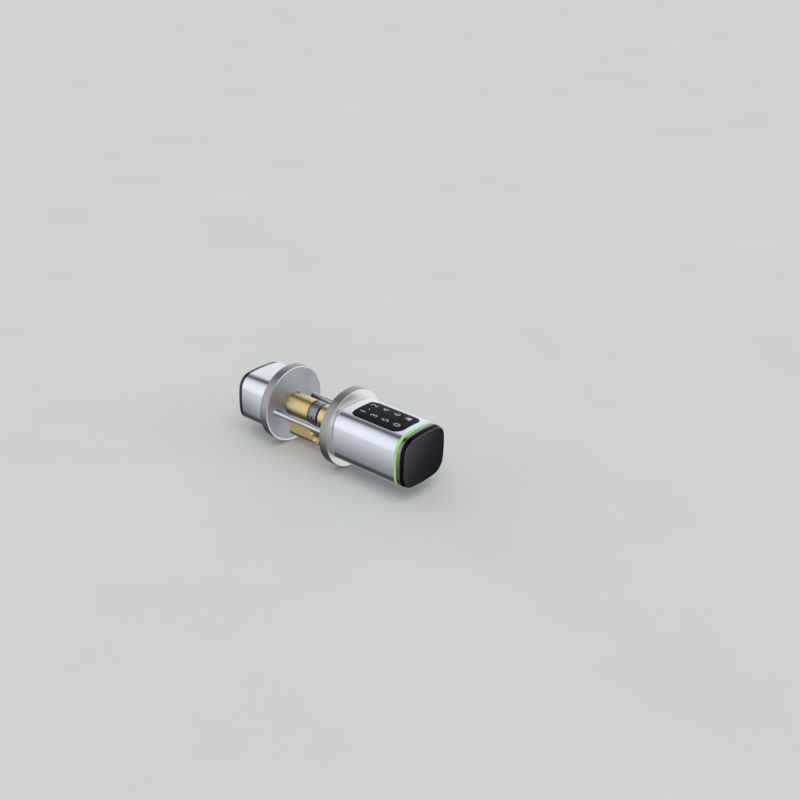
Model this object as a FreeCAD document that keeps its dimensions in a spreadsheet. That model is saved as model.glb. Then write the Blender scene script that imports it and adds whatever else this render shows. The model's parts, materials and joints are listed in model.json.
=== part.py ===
import FreeCAD, Part
import math
import os
import re
import Sketcher

# Keypad smart lock: a motor-clutched keypad knob and a plain inner knob on a euro-profile cylinder, with a
# round rose on each face of the door.
#
# Frame, in millimetres: the origin is on the knob axis, in the plane of the door's outer face. +Z is up, and
# -Y points out of the door, towards the keypad knob. A level is a distance out of the door's outer face, so
# level = -Y, and everything on the inner side of that face has a negative level.

Vector = FreeCAD.Vector

# Driving dimensions, in millimetres unless the name says otherwise.
DIMENSIONS = {
    "door_thickness": 50,
    # how far a cutting shape runs past what it cuts
    "overcut": 1,
    # roses, the round cover plates on both faces of the door
    "rose_radius": 28,
    "rose_height": 6.5,
    "rose_wall": 1.2,
    "rose_edge": 0.7,
    "rose_hole": 11.5,
    "rose_fit": 0.15,
    "base_plate": 2,
    "base_rim": 2.2,
    "base_height": 5.2,
    "bolt_offset": 19,
    "bolt_radius": 2,
    "bolt_clearance": 0.1,
    "bolt_head_radius": 3.7,
    "bolt_head_height": 2.2,
    "bolt_socket": 1.3,
    "bolt_socket_depth": 1.4,
    "bolt_thread": 3,
    "boss_radius": 4.6,
    "bolt_seat": 3,
    # euro-profile cylinder
    "cylinder_length": 60,
    "profile_radius": 8.5,
    "profile_height": 33,
    "stem_width": 10,
    "profile_clearance": 0.25,
    "plug_bore": 6.5,
    "running_gap": 0.05,
    "slot_width": 10,
    "slot_drop": 16,
    "fixing_radius": 2.5,
    "fixing_drop": 19.5,
    "drill_pin_radius": 1.25,
    "drill_pin_length": 12,
    "drill_pin_offset": 3,
    "drill_pin_drop": 10.5,
    # drive train
    "spindle_radius": 4,
    "cam_thickness": 6,
    "cam_ring": 8.4,
    "lever_thickness": 9.2,
    "lever_width": 9,
    "lever_reach": 15.3,
    "lever_root": 7.9,
    "cam_pin_radius": 1.25,
    "cam_pin_sink": 0.5,
    "pin_gap": 0.02,
    "sleeve_stub": 1.6,
    "clip_groove": 5.7,
    "clip_outer": 7.5,
    "clip_thickness": 0.9,
    "clip_offset": 0.15,
    "clip_mouth": 5,
    # knob section: four shallow arcs joined by four corner arcs
    "half_width": 22,
    "half_height": 19,
    "side_arc": 83,
    "top_arc": 104,
    "corner_arc": 10.8,
    # keypad knob
    "knob_gap": 0.3,
    "housing_length": 53,
    "housing_wall": 1.8,
    "housing_back_edge": 0.6,
    "housing_front_edge": 0.2,
    "inner_fit": 0.15,
    "ring_width": 2,
    "ring_inset": 0.1,
    "cap_length": 5.7,
    "bevel_length": 2.8,
    "bevel_depth": 0.85,
    "plate_proud": 0.25,
    "plate_inset": 1.2,
    "plate_edge": 0.25,
    "plate_seat": 1.6,
    "plate_groove": 0.2,
    "cap_wall": 1.6,
    "cap_lip": 4.2,
    "lip_thickness": 1,
    # keypad, on the top of the knob
    "panel_width": 25.2,
    "panel_length": 42.4,
    "panel_corner": 6,
    "panel_start": 6.2,
    "panel_fit": 0.12,
    "panel_recess": 0.05,
    "panel_under": 16.2,
    "window_edge": 0.5,
    "gasket_thickness": 0.6,
    "gasket_band": 2.2,
    "touch_board_margin": 0.9,
    "board_thickness": 1,
    "key_pitch": 9.8,
    "key_half_gap": 6,
    "key_shift": 0.9,
    "key_first": 5.5,
    "key_led": 0.8,
    "dot_shift": 1.2,
    "dot_step": 1.6,
    # hub plate, clutch and motor
    "hub_recess": 0.3,
    "hub_thickness": 4,
    "hub_screw_x": 14,
    "hub_screw_z": 11,
    "hub_screw_radius": 1.25,
    "hub_screw_length": 8,
    "hub_screw_head": 2.3,
    "hub_screw_socket": 0.8,
    "hub_screw_sink": 1.6,
    "hub_screw_socket_depth": 0.9,
    "hub_head_sink": 0.1,
    "hub_screw_room": 0.5,
    "set_screw_radius": 1.25,
    "set_screw_socket": 0.8,
    "set_screw_socket_depth": 1.5,
    "set_screw_sink": 0.6,
    "seal_inner": 12.6,
    "seal_outer": 14.2,
    "seal_gap": 0.15,
    "seal_depth": 0.6,
    "seal_lip": 0.4,
    "clutch_gap": 0.5,
    "clutch_radius": 9,
    "clutch_thickness": 3.5,
    "clutch_room": 0.4,
    "notch_floor": 5.7,
    "notch_width": 4.3,
    "bolt_tip_gap": 0.4,
    "dog_width": 4,
    "dog_bottom": 6,
    "dog_top": 8.6,
    "dog_length": 8,
    "dog_nose": 2,
    "screw_height": 7.3,
    "screw_radius": 1,
    "screw_grip": 5.2,
    "thread_pitch": 1,
    "thread_start": 0.4,
    "thread_width": 0.6,
    "thread_depth": 0.15,
    "motor_radius": 4,
    "motor_length": 16,
    "motor_gap": 0.5,
    "motor_end_wall": 2,
    "motor_boss_radius": 1.5,
    "motor_boss_length": 0.8,
    "slide_gap": 0.15,
    # chassis and what it carries
    "chassis_gap": 0.2,
    "chassis_length": 45,
    "battery_radius": 8.4,
    "battery_length": 34.2,
    "battery_spread": 8.7,
    "battery_drop": 8,
    "battery_start": 14,
    "contact_room": 0.7,
    "contact_radius": 5,
    "contact_thickness": 0.4,
    "terminal_radius": 3,
    "terminal_height": 0.9,
    "motor_room_floor": 2,
    "motor_room_half": 14.3,
    "main_board_bottom": 12.2,
    "main_board_half": 15.5,
    "main_board_start": 10.9,
    "main_board_length": 36.5,
    "chip_height": 1.2,
    "flex_half": 4,
    "flex_start": 43.9,
    "flex_thickness": 0.5,
    "bracket_half": 5.5,
    "bracket_length": 11,
    "bracket_top": 11.8,
    "bracket_start": 2,
    "buzzer_radius": 4,
    "buzzer_height": 3,
    "buzzer_x": 9.8,
    "buzzer_start": 37.4,
    "switch_x": 10.5,
    "switch_size": 4.5,
    "switch_depth": 2.4,
    "button_radius": 1.2,
    "button_length": 1.6,
    "button_travel": 0.4,
    "pogo_half": 5.5,
    "pogo_start": 44.8,
    "pogo_length": 2.6,
    "pogo_pin_root": 0.5,
    "pogo_height": 2.2,
    "pogo_radius": 0.45,
    "pogo_pitch": 2.5,
    # reader behind the end plate
    "front_board_inset": 3.15,
    "front_board_level": 0.5,
    "ring_lamp_half": 1,
    "ring_lamp_half_height": 0.6,
    "ring_lamp_thickness": 0.7,
    "ring_lamp_x_margin": 7.15,
    "ring_lamp_z_margin": 6.15,
    "spring_radius": 3,
    "spring_wire": 0.35,
    "spring_pitch": 1.1,
    "antenna_inset": 4.5,
    "antenna_gap": 0.3,
    "antenna_thickness": 0.8,
    "spigot_length": 2.8,
    "spigot_depth": 3.1,
    # inner knob
    "turn_length": 24,
    "turn_floor": 6,
    "turn_cap": 4,
    "thrust_gap": 0.05,
    "turn_screw_radius": 2,
    "turn_screw_head": 3.4,
    "turn_screw_head_height": 2.6,
    "turn_screw_depth": 8,
    "turn_socket": 1.6,
    "turn_socket_depth": 1.8,
    "washer_radius": 6,
    "washer_thickness": 0.8,
    "washer_clearance": 0.1,
    "spindle_end": 6,
}

# Levels that many pieces share, as expressions of the dimensions.
CYLINDER_END = "(cylinder_length - door_thickness) / 2"
SLOT_NEAR = "(slot_width - door_thickness) / 2"
SLOT_FAR = "-(slot_width + door_thickness) / 2"
MID_DOOR = "-door_thickness / 2"
KNOB_BACK = "rose_height + knob_gap"
HUB_BACK = f"{KNOB_BACK} + hub_recess"
HUB_FRONT = f"{HUB_BACK} + hub_thickness"
CLUTCH_BACK = f"{HUB_FRONT} + clutch_gap"
CLUTCH_FRONT = f"{CLUTCH_BACK} + clutch_thickness"
DOG_TIP = f"{CLUTCH_FRONT} + bolt_tip_gap"
MOTOR_BACK = f"{DOG_TIP} + dog_length + motor_gap"
CHASSIS_BACK = f"{HUB_FRONT} + chassis_gap"
CHASSIS_FRONT = f"{CHASSIS_BACK} + chassis_length"
HOUSING_FRONT = f"{KNOB_BACK} + housing_length"
RING_FRONT = f"{HOUSING_FRONT} + ring_width"
CAP_FRONT = f"{RING_FRONT} + cap_length"
PLATE_FRONT = f"{CAP_FRONT} + plate_proud"
PANEL_BACK = f"{KNOB_BACK} + panel_start"
FRONT_BOARD = f"{HOUSING_FRONT} + front_board_level"
BATTERY_BACK = f"{KNOB_BACK} + battery_start"
BATTERY_FRONT = f"{BATTERY_BACK} + battery_length"
BOARD_BACK = f"{KNOB_BACK} + main_board_start"
BOARD_FRONT = f"{BOARD_BACK} + main_board_length"
TURN_BACK = "-(door_thickness + rose_height + knob_gap)"
TURN_FRONT = f"{TURN_BACK} - turn_length"
INSIDE = "housing_wall + inner_fit"

# The chips under the main board: left edge, distance from the knob's back, width and length.
CHIPS = {
    "processor": (7, 18.4, 6, 6),
    "radio": (-13.5, 16.9, 7, 11),
    "motor_driver": (7, 28.4, 4, 3),
    "regulator": (7, 16.1, 2.5, 1.5),
    "crystal": (-12, 30.4, 3, 2),
}

KEY_ROWS = 4
RING_LAMPS = 12
POGO_PINS = 4
THREAD_GROOVES = 5

doc = FreeCAD.newDocument("keypad_smart_lock")
sheet = doc.addObject("Spreadsheet::Sheet", "dims")
pieces = []


def fill_sheet():
    for row, (alias, value) in enumerate(DIMENSIONS.items(), start=1):
        sheet.set(f"A{row}", alias)
        sheet.set(f"B{row}", str(value))
        sheet.setAlias(f"B{row}", alias)
    doc.recompute()


def bound(expression):
    """The expression with every dimension's name written as a cell of the sheet."""
    return re.sub(r"[a-z][a-z_]+", lambda word: "dims." + word.group(), expression)


def number(expression):
    return float(sheet.evalExpression(bound(expression)))


def keep(piece, label):
    """Marks an object as a real piece, which gets a STEP file of its own."""
    piece.Label = label
    pieces.append(piece)
    return piece


# ---------------------------------------------------------------- sketches


def datum(sketch, constraint, expression):
    index = sketch.addConstraint(constraint)
    sketch.setExpression(f"Constraints[{index}]", bound(expression))


def new_sketch(body, plane, offset):
    sketch = body.newObject("Sketcher::SketchObject", body.Name + "_sketch")
    support = [p for p in body.Origin.OriginFeatures if p.Role == plane]
    sketch.AttachmentSupport = [(support[0], "")]
    sketch.MapMode = "FlatFace"
    sketch.setExpression(".AttachmentOffset.Base.z", bound(offset))
    return sketch


def place_point(sketch, geometry, point, across, up):
    """Fixes a point of the sketch at two signed distances from its origin."""
    start = (-1, 1, geometry, point)
    datum(sketch, Sketcher.Constraint("DistanceX", *start, number(across)), across)
    datum(sketch, Sketcher.Constraint("DistanceY", *start, number(up)), up)


def circle(sketch, radius, across="0", up="0"):
    centre = Vector(number(across), number(up), 0)
    ring = Part.Circle(centre, Vector(0, 0, 1), number(radius))
    index = sketch.addGeometry(ring)
    place_point(sketch, index, 3, across, up)
    datum(sketch, Sketcher.Constraint("Radius", index, number(radius)), radius)


def polygon(sketch, corners):
    """A closed outline of straight lines through corners, each a pair of expressions."""
    points = [Vector(number(a), number(b), 0) for a, b in corners]
    lines = [
        sketch.addGeometry(Part.LineSegment(point, points[(i + 1) % len(points)]))
        for i, point in enumerate(points)
    ]
    for i, line in enumerate(lines):
        following = lines[(i + 1) % len(lines)]
        sketch.addConstraint(Sketcher.Constraint("Coincident", line, 2, following, 1))
        place_point(sketch, line, 1, *corners[i])


def rectangle(sketch, low, high):
    polygon(sketch, [low, (high[0], low[1]), high, (low[0], high[1])])


def add_arc(sketch, centre, radius, start, end):
    ring = Part.Circle(Vector(centre[0], centre[1], 0), Vector(0, 0, 1), radius)
    return sketch.addGeometry(Part.ArcOfCircle(ring, start, end))


def rounded_rectangle(sketch, half, corner, across="0", up="0"):
    """A rectangle with round corners, from its half sizes, its corner radius and its centre."""
    half_x, half_y = (number(value) for value in half)
    radius = number(corner)
    x, y = number(across), number(up)
    arcs, lines = [], []
    signs = [(1, 1), (-1, 1), (-1, -1), (1, -1)]
    for turn, (sx, sy) in enumerate(signs):
        centre = (x + sx * (half_x - radius), y + sy * (half_y - radius))
        begin = turn * math.pi / 2
        arcs.append(add_arc(sketch, centre, radius, begin, begin + math.pi / 2))
    for turn, arc in enumerate(arcs):
        following = arcs[(turn + 1) % 4]
        start = sketch.getPoint(arc, 2)
        end = sketch.getPoint(following, 1)
        line = sketch.addGeometry(Part.LineSegment(start, end))
        lines.append(line)
        sketch.addConstraint(Sketcher.Constraint("Tangent", arc, 2, line, 1))
        sketch.addConstraint(Sketcher.Constraint("Tangent", line, 2, following, 1))
        way = "Horizontal" if turn % 2 == 0 else "Vertical"
        sketch.addConstraint(Sketcher.Constraint(way, line))
    for arc in arcs[1:]:
        sketch.addConstraint(Sketcher.Constraint("Equal", arcs[0], arc))
    datum(sketch, Sketcher.Constraint("Radius", arcs[0], radius), corner)
    high = (f"{across} + {half[0]} - ({corner})", f"{up} + {half[1]} - ({corner})")
    low = (f"{across} - {half[0]} + ({corner})", f"{up} - {half[1]} + ({corner})")
    place_point(sketch, arcs[0], 3, *high)
    place_point(sketch, arcs[2], 3, *low)


def knob_outline(sketch, inset="0"):
    """The knob's section, moved in by inset: shallow arcs on four sides and tighter arcs at the corners."""
    side = number(f"side_arc - ({inset})")
    top = number(f"top_arc - ({inset})")
    corner = number(f"corner_arc - ({inset})")
    side_centre = number("half_width - side_arc")
    top_centre = number("half_height - top_arc")
    # the corner's centre is as far from each long arc's centre as the difference of their radii
    gap = math.hypot(side_centre, top_centre)
    along = ((side - corner) ** 2 - (top - corner) ** 2 + gap**2) / (2 * gap)
    aside = math.sqrt((side - corner) ** 2 - along**2)
    unit = (-side_centre / gap, top_centre / gap)
    corner_x = side_centre + along * unit[0] - aside * unit[1]
    corner_y = along * unit[1] + aside * unit[0]
    low = math.atan2(corner_y, corner_x - side_centre)
    high = math.atan2(corner_y - top_centre, corner_x)
    half, full = math.pi / 2, math.pi
    arcs = [
        add_arc(sketch, (side_centre, 0), side, -low, low),
        add_arc(sketch, (corner_x, corner_y), corner, low, high),
        add_arc(sketch, (0, top_centre), top, high, full - high),
        add_arc(sketch, (-corner_x, corner_y), corner, full - high, full - low),
        add_arc(sketch, (-side_centre, 0), side, full - low, full + low),
        add_arc(sketch, (-corner_x, -corner_y), corner, full + low, full + high),
        add_arc(sketch, (0, -top_centre), top, full + high, 2 * full - high),
        add_arc(sketch, (corner_x, -corner_y), corner, 3 * half + half - high, 2 * full - low),
    ]
    for i, arc in enumerate(arcs):
        following = arcs[(i + 1) % len(arcs)]
        sketch.addConstraint(Sketcher.Constraint("Tangent", arc, 2, following, 1))
    right, top_side, left, bottom = arcs[0::2]
    place_point(sketch, right, 3, "half_width - side_arc", "0")
    place_point(sketch, left, 3, "side_arc - half_width", "0")
    place_point(sketch, top_side, 3, "0", "half_height - top_arc")
    place_point(sketch, bottom, 3, "0", "top_arc - half_height")
    for one, other in ((right, left), (top_side, bottom)):
        sketch.addConstraint(Sketcher.Constraint("Equal", one, other))
    for arc in arcs[3::2]:
        sketch.addConstraint(Sketcher.Constraint("Equal", arcs[1], arc))
    datum(sketch, Sketcher.Constraint("Radius", right, side), f"side_arc - ({inset})")
    datum(sketch, Sketcher.Constraint("Radius", top_side, top), f"top_arc - ({inset})")
    datum(sketch, Sketcher.Constraint("Radius", arcs[1], corner), f"corner_arc - ({inset})")


def euro_profile(sketch, grow="0"):
    """The euro cylinder's section: a round head over a narrow stem with a round foot."""
    head = number(f"profile_radius + {grow}")
    foot = number(f"stem_width / 2 + {grow}")
    drop = number("profile_height - profile_radius - stem_width / 2")
    meet = -math.sqrt(head**2 - foot**2)
    lean = math.atan2(meet, foot)
    top = add_arc(sketch, (0, 0), head, lean, math.pi - lean)
    left = sketch.addGeometry(Part.LineSegment(Vector(-foot, meet, 0), Vector(-foot, -drop, 0)))
    base = add_arc(sketch, (0, -drop), foot, math.pi, 2 * math.pi)
    right = sketch.addGeometry(Part.LineSegment(Vector(foot, -drop, 0), Vector(foot, meet, 0)))
    sketch.addConstraint(Sketcher.Constraint("Coincident", top, 2, left, 1))
    sketch.addConstraint(Sketcher.Constraint("Coincident", right, 2, top, 1))
    sketch.addConstraint(Sketcher.Constraint("Tangent", left, 2, base, 1))
    sketch.addConstraint(Sketcher.Constraint("Tangent", base, 2, right, 1))
    sketch.addConstraint(Sketcher.Constraint("Vertical", left))
    sketch.addConstraint(Sketcher.Constraint("Vertical", right))
    place_point(sketch, top, 3, "0", "0")
    place_point(sketch, base, 3, "0", "profile_radius + stem_width / 2 - profile_height")
    datum(sketch, Sketcher.Constraint("Radius", top, head), f"profile_radius + {grow}")
    datum(sketch, Sketcher.Constraint("Radius", base, foot), f"stem_width / 2 + {grow}")


# ---------------------------------------------------------------- PartDesign pieces


class Piece:
    """A PartDesign body for one real piece. Its sketches lie across the knob axis unless a plane is named."""

    def __init__(self, label):
        self.body = doc.addObject("PartDesign::Body", label)
        keep(self.body, label)

    def sketch(self, level, draw, *args, plane="XZ_Plane"):
        sketch = new_sketch(self.body, plane, level)
        draw(sketch, *args)
        return sketch

    def feature(self, kind, profile, **settings):
        before = self.body.Shape.Volume if self.body.Tip else 0.0
        feature = self.body.newObject("PartDesign::" + kind, self.body.Name + "_" + kind.lower())
        feature.Profile = profile
        for name, value in settings.items():
            if isinstance(value, str) and name in ("Length", "Angle"):
                feature.setExpression(name, bound(value))
            else:
                setattr(feature, name, value)
        profile.Visibility = False
        doc.recompute()
        after = self.body.Shape.Volume
        cuts = kind in ("Pocket", "Groove")
        if (cuts and after >= before - 1e-6) or (not cuts and after <= before + 1e-6):
            raise RuntimeError(f"{feature.Name} did not change {self.body.Label}")
        return feature

    def pad(self, level, length, draw, *args, **more):
        """Adds a prism that starts at a level and grows outwards."""
        return self.feature("Pad", self.sketch(level, draw, *args), Length=length, **more)

    def pocket(self, level, length, draw, *args, **more):
        """Cuts a prism that starts at a level and goes inwards."""
        return self.feature("Pocket", self.sketch(level, draw, *args), Length=length, **more)

    def drill(self, draw, *args, plane="XZ_Plane", level="0", length=None, reverse=False):
        """Cuts right through, both ways, or for a length along one way."""
        profile = self.sketch(level, draw, *args, plane=plane)
        if length is None:
            return self.feature("Pocket", profile, Type=1, Midplane=True)
        return self.feature("Pocket", profile, Length=length, Reversed=reverse)

    def revolve(self, corners):
        """Turns an outline of (radius, level) corners about the knob axis."""
        outline = [(radius, f"-({level})") for radius, level in corners]
        profile = self.sketch("0", polygon, outline, plane="XY_Plane")
        return self.feature("Revolution", profile, ReferenceAxis=(profile, ["V_Axis"]), Angle="360")

    def dress(self, kind, size, wanted, second=None):
        """Rounds or chamfers the edges that the test wanted picks."""
        tip = self.body.Tip
        names = [f"Edge{i}" for i, edge in enumerate(tip.Shape.Edges, 1) if wanted(edge)]
        feature = self.body.newObject("PartDesign::" + kind, self.body.Name + "_" + kind.lower())
        feature.Base = (tip, names)
        feature.setExpression("Radius" if kind == "Fillet" else "Size", bound(size))
        if second:
            feature.ChamferType = "Two distances"
            feature.setExpression("Size2", bound(second))
        doc.recompute()
        return feature


def at_level(level, inset=None):
    """A test for the knob outline's edges in one plane, at one inset from the knob's full section."""
    y = -number(level)

    def wanted(edge):
        box = edge.BoundBox
        flat = abs(box.YMin - y) < 1e-4 and abs(box.YMax - y) < 1e-4
        if not flat or inset is None:
            return flat
        return all(abs(depth_in_knob(v.Point) - number(inset)) < 0.02 for v in edge.Vertexes)

    return wanted


def depth_in_knob(point):
    """How far a point lies inside the knob's section, measured from the nearest of its arcs."""
    x, z = abs(point.x), abs(point.z)
    side_centre = number("half_width - side_arc")
    top_centre = number("half_height - top_arc")
    from_side = number("side_arc") - math.hypot(x - side_centre, z)
    from_top = number("top_arc") - math.hypot(x, z - top_centre)
    return min(from_side, from_top)


# ---------------------------------------------------------------- Part primitives


def position(item, x, level, z):
    item.setExpression(".Placement.Base.x", bound(x))
    item.setExpression(".Placement.Base.y", bound(f"-({level})"))
    item.setExpression(".Placement.Base.z", bound(z))


def rod(name, radius, inner, outer, x="0", z="0"):
    """A round bar along the knob axis, between two levels."""
    item = doc.addObject("Part::Cylinder", name)
    item.Placement.Rotation = FreeCAD.Rotation(Vector(1, 0, 0), -90)
    item.setExpression("Radius", bound(radius))
    item.setExpression("Height", bound(f"({outer}) - ({inner})"))
    position(item, x, outer, z)
    return item


def upright(name, radius, low, high, x, level):
    """A round bar along Z, between two heights."""
    item = doc.addObject("Part::Cylinder", name)
    item.setExpression("Radius", bound(radius))
    item.setExpression("Height", bound(f"({high}) - ({low})"))
    position(item, x, level, low)
    return item


def block(name, across, levels, heights):
    """A box between two x values, two levels and two heights."""
    item = doc.addObject("Part::Box", name)
    item.setExpression("Length", bound(f"({across[1]}) - ({across[0]})"))
    item.setExpression("Width", bound(f"({levels[1]}) - ({levels[0]})"))
    item.setExpression("Height", bound(f"({heights[1]}) - ({heights[0]})"))
    position(item, across[0], levels[1], heights[0])
    return item


def hexagon(name, radius, inner, outer, x="0", z="0"):
    """A hexagon socket's tool, along the knob axis."""
    item = doc.addObject("Part::Prism", name)
    item.Polygon = 6
    item.Placement.Rotation = FreeCAD.Rotation(Vector(1, 0, 0), -90)
    item.setExpression("Circumradius", bound(radius))
    item.setExpression("Height", bound(f"({outer}) - ({inner})"))
    position(item, x, outer, z)
    return item


def fuse(name, items):
    joined = doc.addObject("Part::MultiFuse", name)
    joined.Shapes = items
    return joined


def cut(name, base, tool):
    result = doc.addObject("Part::Cut", name)
    result.Base = base
    result.Tool = tool
    return result


def common(name, items):
    shared = doc.addObject("Part::MultiCommon", name)
    shared.Shapes = items
    return shared


def group(name, items):
    """Separate solids of one kind, kept as one piece with one name."""
    together = doc.addObject("Part::Compound", name)
    together.Links = items
    return together


def extrusion(name, draw, *args, plane, start, length):
    """A prism from a free sketch, which lies across the knob axis (level) or is seen from above (height)."""
    sketch = doc.addObject("Sketcher::SketchObject", name + "_sketch")
    if plane == "level":
        sketch.Placement.Rotation = FreeCAD.Rotation(Vector(1, 0, 0), 90)
        sketch.setExpression(".Placement.Base.y", bound(f"-({start})"))
        way = Vector(0, -1, 0)
    else:
        sketch.setExpression(".Placement.Base.z", bound(start))
        way = Vector(0, 0, 1)
    draw(sketch, *args)
    item = doc.addObject("Part::Extrusion", name)
    item.Base = sketch
    item.DirMode = "Custom"
    item.Dir = way
    item.Solid = True
    item.setExpression("LengthFwd", bound(length))
    return item


def knob_slice(name, inset, start, length):
    return extrusion(name, knob_outline, inset, plane="level", start=start, length=length)


# ---------------------------------------------------------------- roses and cylinder


def side_level(side, distance):
    """A level at a distance off the door face on the outer or inner side."""
    return distance if side == "outer" else f"-(door_thickness + {distance})"


def rose_cover(side):
    radius, wall = "rose_radius", "rose_wall"
    front = "rose_height"
    outline = [
        (radius, "0"),
        (radius, f"{front} - rose_edge"),
        (f"{radius} - rose_edge", front),
        ("rose_hole", front),
        ("rose_hole", f"{front} - {wall}"),
        (f"{radius} - {wall}", f"{front} - {wall}"),
        (f"{radius} - {wall}", "0"),
    ]
    cover = Piece(f"{side}_rose_cover")
    cover.revolve([(r, side_level(side, level)) for r, level in outline])


def rose_base(side):
    """The plate under a rose cover, with a rim for the cover, the profile's hole and two bolt bosses."""
    rim = "rose_radius - rose_wall - rose_fit"
    outline = [
        ("0", "0"),
        (rim, "0"),
        (rim, "base_height"),
        (f"{rim} - base_rim", "base_height"),
        (f"{rim} - base_rim", "base_plate"),
        ("0", "base_plate"),
    ]
    base = Piece(f"{side}_rose_base")
    base.revolve([(r, side_level(side, level)) for r, level in outline])
    seat = "bolt_seat" if side == "inner" else "base_height"
    low, high = side_level(side, "base_plate"), side_level(side, seat)
    start = low if side == "outer" else high
    for sign in ("-", ""):
        base.pad(start, f"{seat} - base_plate", circle, "boss_radius", f"{sign}bolt_offset", "0")
    base.drill(euro_profile, "profile_clearance")
    for sign in ("-", ""):
        base.drill(circle, "bolt_radius + bolt_clearance", f"{sign}bolt_offset", "0")


def rose_bolts():
    bolts = []
    head_seat = side_level("inner", "bolt_seat")
    head_top = side_level("inner", "bolt_seat + bolt_head_height")
    for side, x in (("left", "-bolt_offset"), ("right", "bolt_offset")):
        shank = rod(f"bolt_shank_{side}", "bolt_radius", head_seat, "base_plate + bolt_thread", x)
        head = rod(f"bolt_head_{side}", "bolt_head_radius", head_top, head_seat, x)
        socket = hexagon(f"bolt_socket_{side}", "bolt_socket", head_top, f"{head_top} + bolt_socket_depth", x)
        bolts.append(cut(f"bolt_{side}", fuse(f"bolt_blank_{side}", [shank, head]), socket))
    keep(group("rose_bolts", bolts), "rose_bolts")


def cylinder_body():
    body = Piece("cylinder_body")
    body.pad(f"{CYLINDER_END} - cylinder_length", "cylinder_length", euro_profile)
    body.drill(circle, "plug_bore")
    slot = (("door_thickness / 2 - slot_width / 2", "-slot_drop"),
            ("door_thickness / 2 + slot_width / 2", "profile_radius + overcut"))
    body.drill(rectangle, *slot, plane="YZ_Plane")
    body.drill(circle, "fixing_radius", "door_thickness / 2", "-fixing_drop", plane="YZ_Plane")
    for sign in ("-", ""):
        spot = (f"{sign}drill_pin_offset", "-drill_pin_drop")
        body.pocket(CYLINDER_END, "drill_pin_length", circle, "drill_pin_radius", *spot)


def anti_drill_pins():
    inner = f"{CYLINDER_END} - drill_pin_length"
    pins = [
        rod(f"drill_pin_{side}", "drill_pin_radius", inner, CYLINDER_END, x, "-drill_pin_drop")
        for side, x in (("left", "-drill_pin_offset"), ("right", "drill_pin_offset"))
    ]
    keep(group("anti_drill_pins", pins), "anti_drill_pins")


# ---------------------------------------------------------------- drive train


def plug_sleeve(label, stub_end, groove, far_end):
    """A bush that turns in one half of the cylinder. stub_end is in the cam slot, where its clip sits."""
    outer = "plug_bore - running_gap"
    outline = [
        ("spindle_radius + running_gap", stub_end),
        (outer, stub_end),
        (outer, groove[0]),
        ("clip_groove", groove[0]),
        ("clip_groove", groove[1]),
        (outer, groove[1]),
        (outer, far_end),
        ("spindle_radius + running_gap", far_end),
    ]
    Piece(label).revolve(outline)


def retaining_clip(label, low, high):
    """A flat open ring that sits in a sleeve's groove."""
    clip = Piece(label)
    clip.revolve([("clip_groove", low), ("clip_outer", low), ("clip_outer", high), ("clip_groove", high)])
    mouth = (("-clip_mouth / 2", "0"), ("clip_mouth / 2", "clip_outer + overcut"))
    clip.drill(rectangle, *mouth)


def sleeves_and_clips():
    near = [f"{SLOT_NEAR} - clip_offset - clip_thickness", f"{SLOT_NEAR} - clip_offset"]
    far = [f"{SLOT_FAR} + clip_offset + clip_thickness", f"{SLOT_FAR} + clip_offset"]
    plug_sleeve("knob_sleeve", f"{SLOT_NEAR} - sleeve_stub", near, HUB_FRONT)
    retaining_clip("outer_circlip", *near)
    plug_sleeve("turn_sleeve", f"{SLOT_FAR} + sleeve_stub", far, f"{TURN_BACK} - turn_floor / 2")
    retaining_clip("inner_circlip", *far)


def spindle():
    """The steel shaft from the clutch ring to the inner knob, with a cross hole for the cam's pin."""
    shaft = Piece("spindle")
    end = f"{TURN_BACK} - spindle_end"
    radius = "spindle_radius"
    shaft.revolve([("0", end), (radius, end), (radius, CLUTCH_FRONT), ("0", CLUTCH_FRONT)])
    shaft.drill(circle, "cam_pin_radius + pin_gap", "door_thickness / 2", "0", plane="YZ_Plane")
    shaft.drill(circle, "turn_screw_radius", "0", "0", level=end, length="turn_screw_depth", reverse=True)


def cam():
    """The ring on the spindle and the lever that throws the bolt of the lock case."""
    cam_piece = Piece("cam")
    low, high = f"{MID_DOOR} - cam_thickness / 2", f"{MID_DOOR} + cam_thickness / 2"
    hole, rim = "spindle_radius", "cam_ring"
    cam_piece.revolve([(hole, low), (rim, low), (rim, high), (hole, high)])
    lever = (("-lever_width / 2", "-lever_reach"), ("lever_width / 2", "-lever_root"))
    cam_piece.pad(f"{MID_DOOR} - lever_thickness / 2", "lever_thickness", rectangle, *lever)
    cam_piece.drill(circle, "cam_pin_radius + pin_gap", "door_thickness / 2", "0", plane="YZ_Plane")
    y_mid = number("door_thickness / 2")

    def tip_edge(edge):
        box = edge.BoundBox
        low_enough = abs(box.ZMax + number("lever_reach")) < 1e-4
        return low_enough and box.YLength > 1 and abs(edge.CenterOfMass.y - y_mid) < 0.1

    cam_piece.dress("Fillet", "lever_width / 4", tip_edge)


def cam_pin():
    pin = doc.addObject("Part::Cylinder", "cam_pin")
    pin.Placement.Rotation = FreeCAD.Rotation(Vector(0, 1, 0), 90)
    pin.setExpression("Radius", bound("cam_pin_radius"))
    pin.setExpression("Height", bound("2 * (cam_ring - cam_pin_sink)"))
    position(pin, "cam_pin_sink - cam_ring", MID_DOOR, "0")
    keep(pin, "cam_pin")


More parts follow.
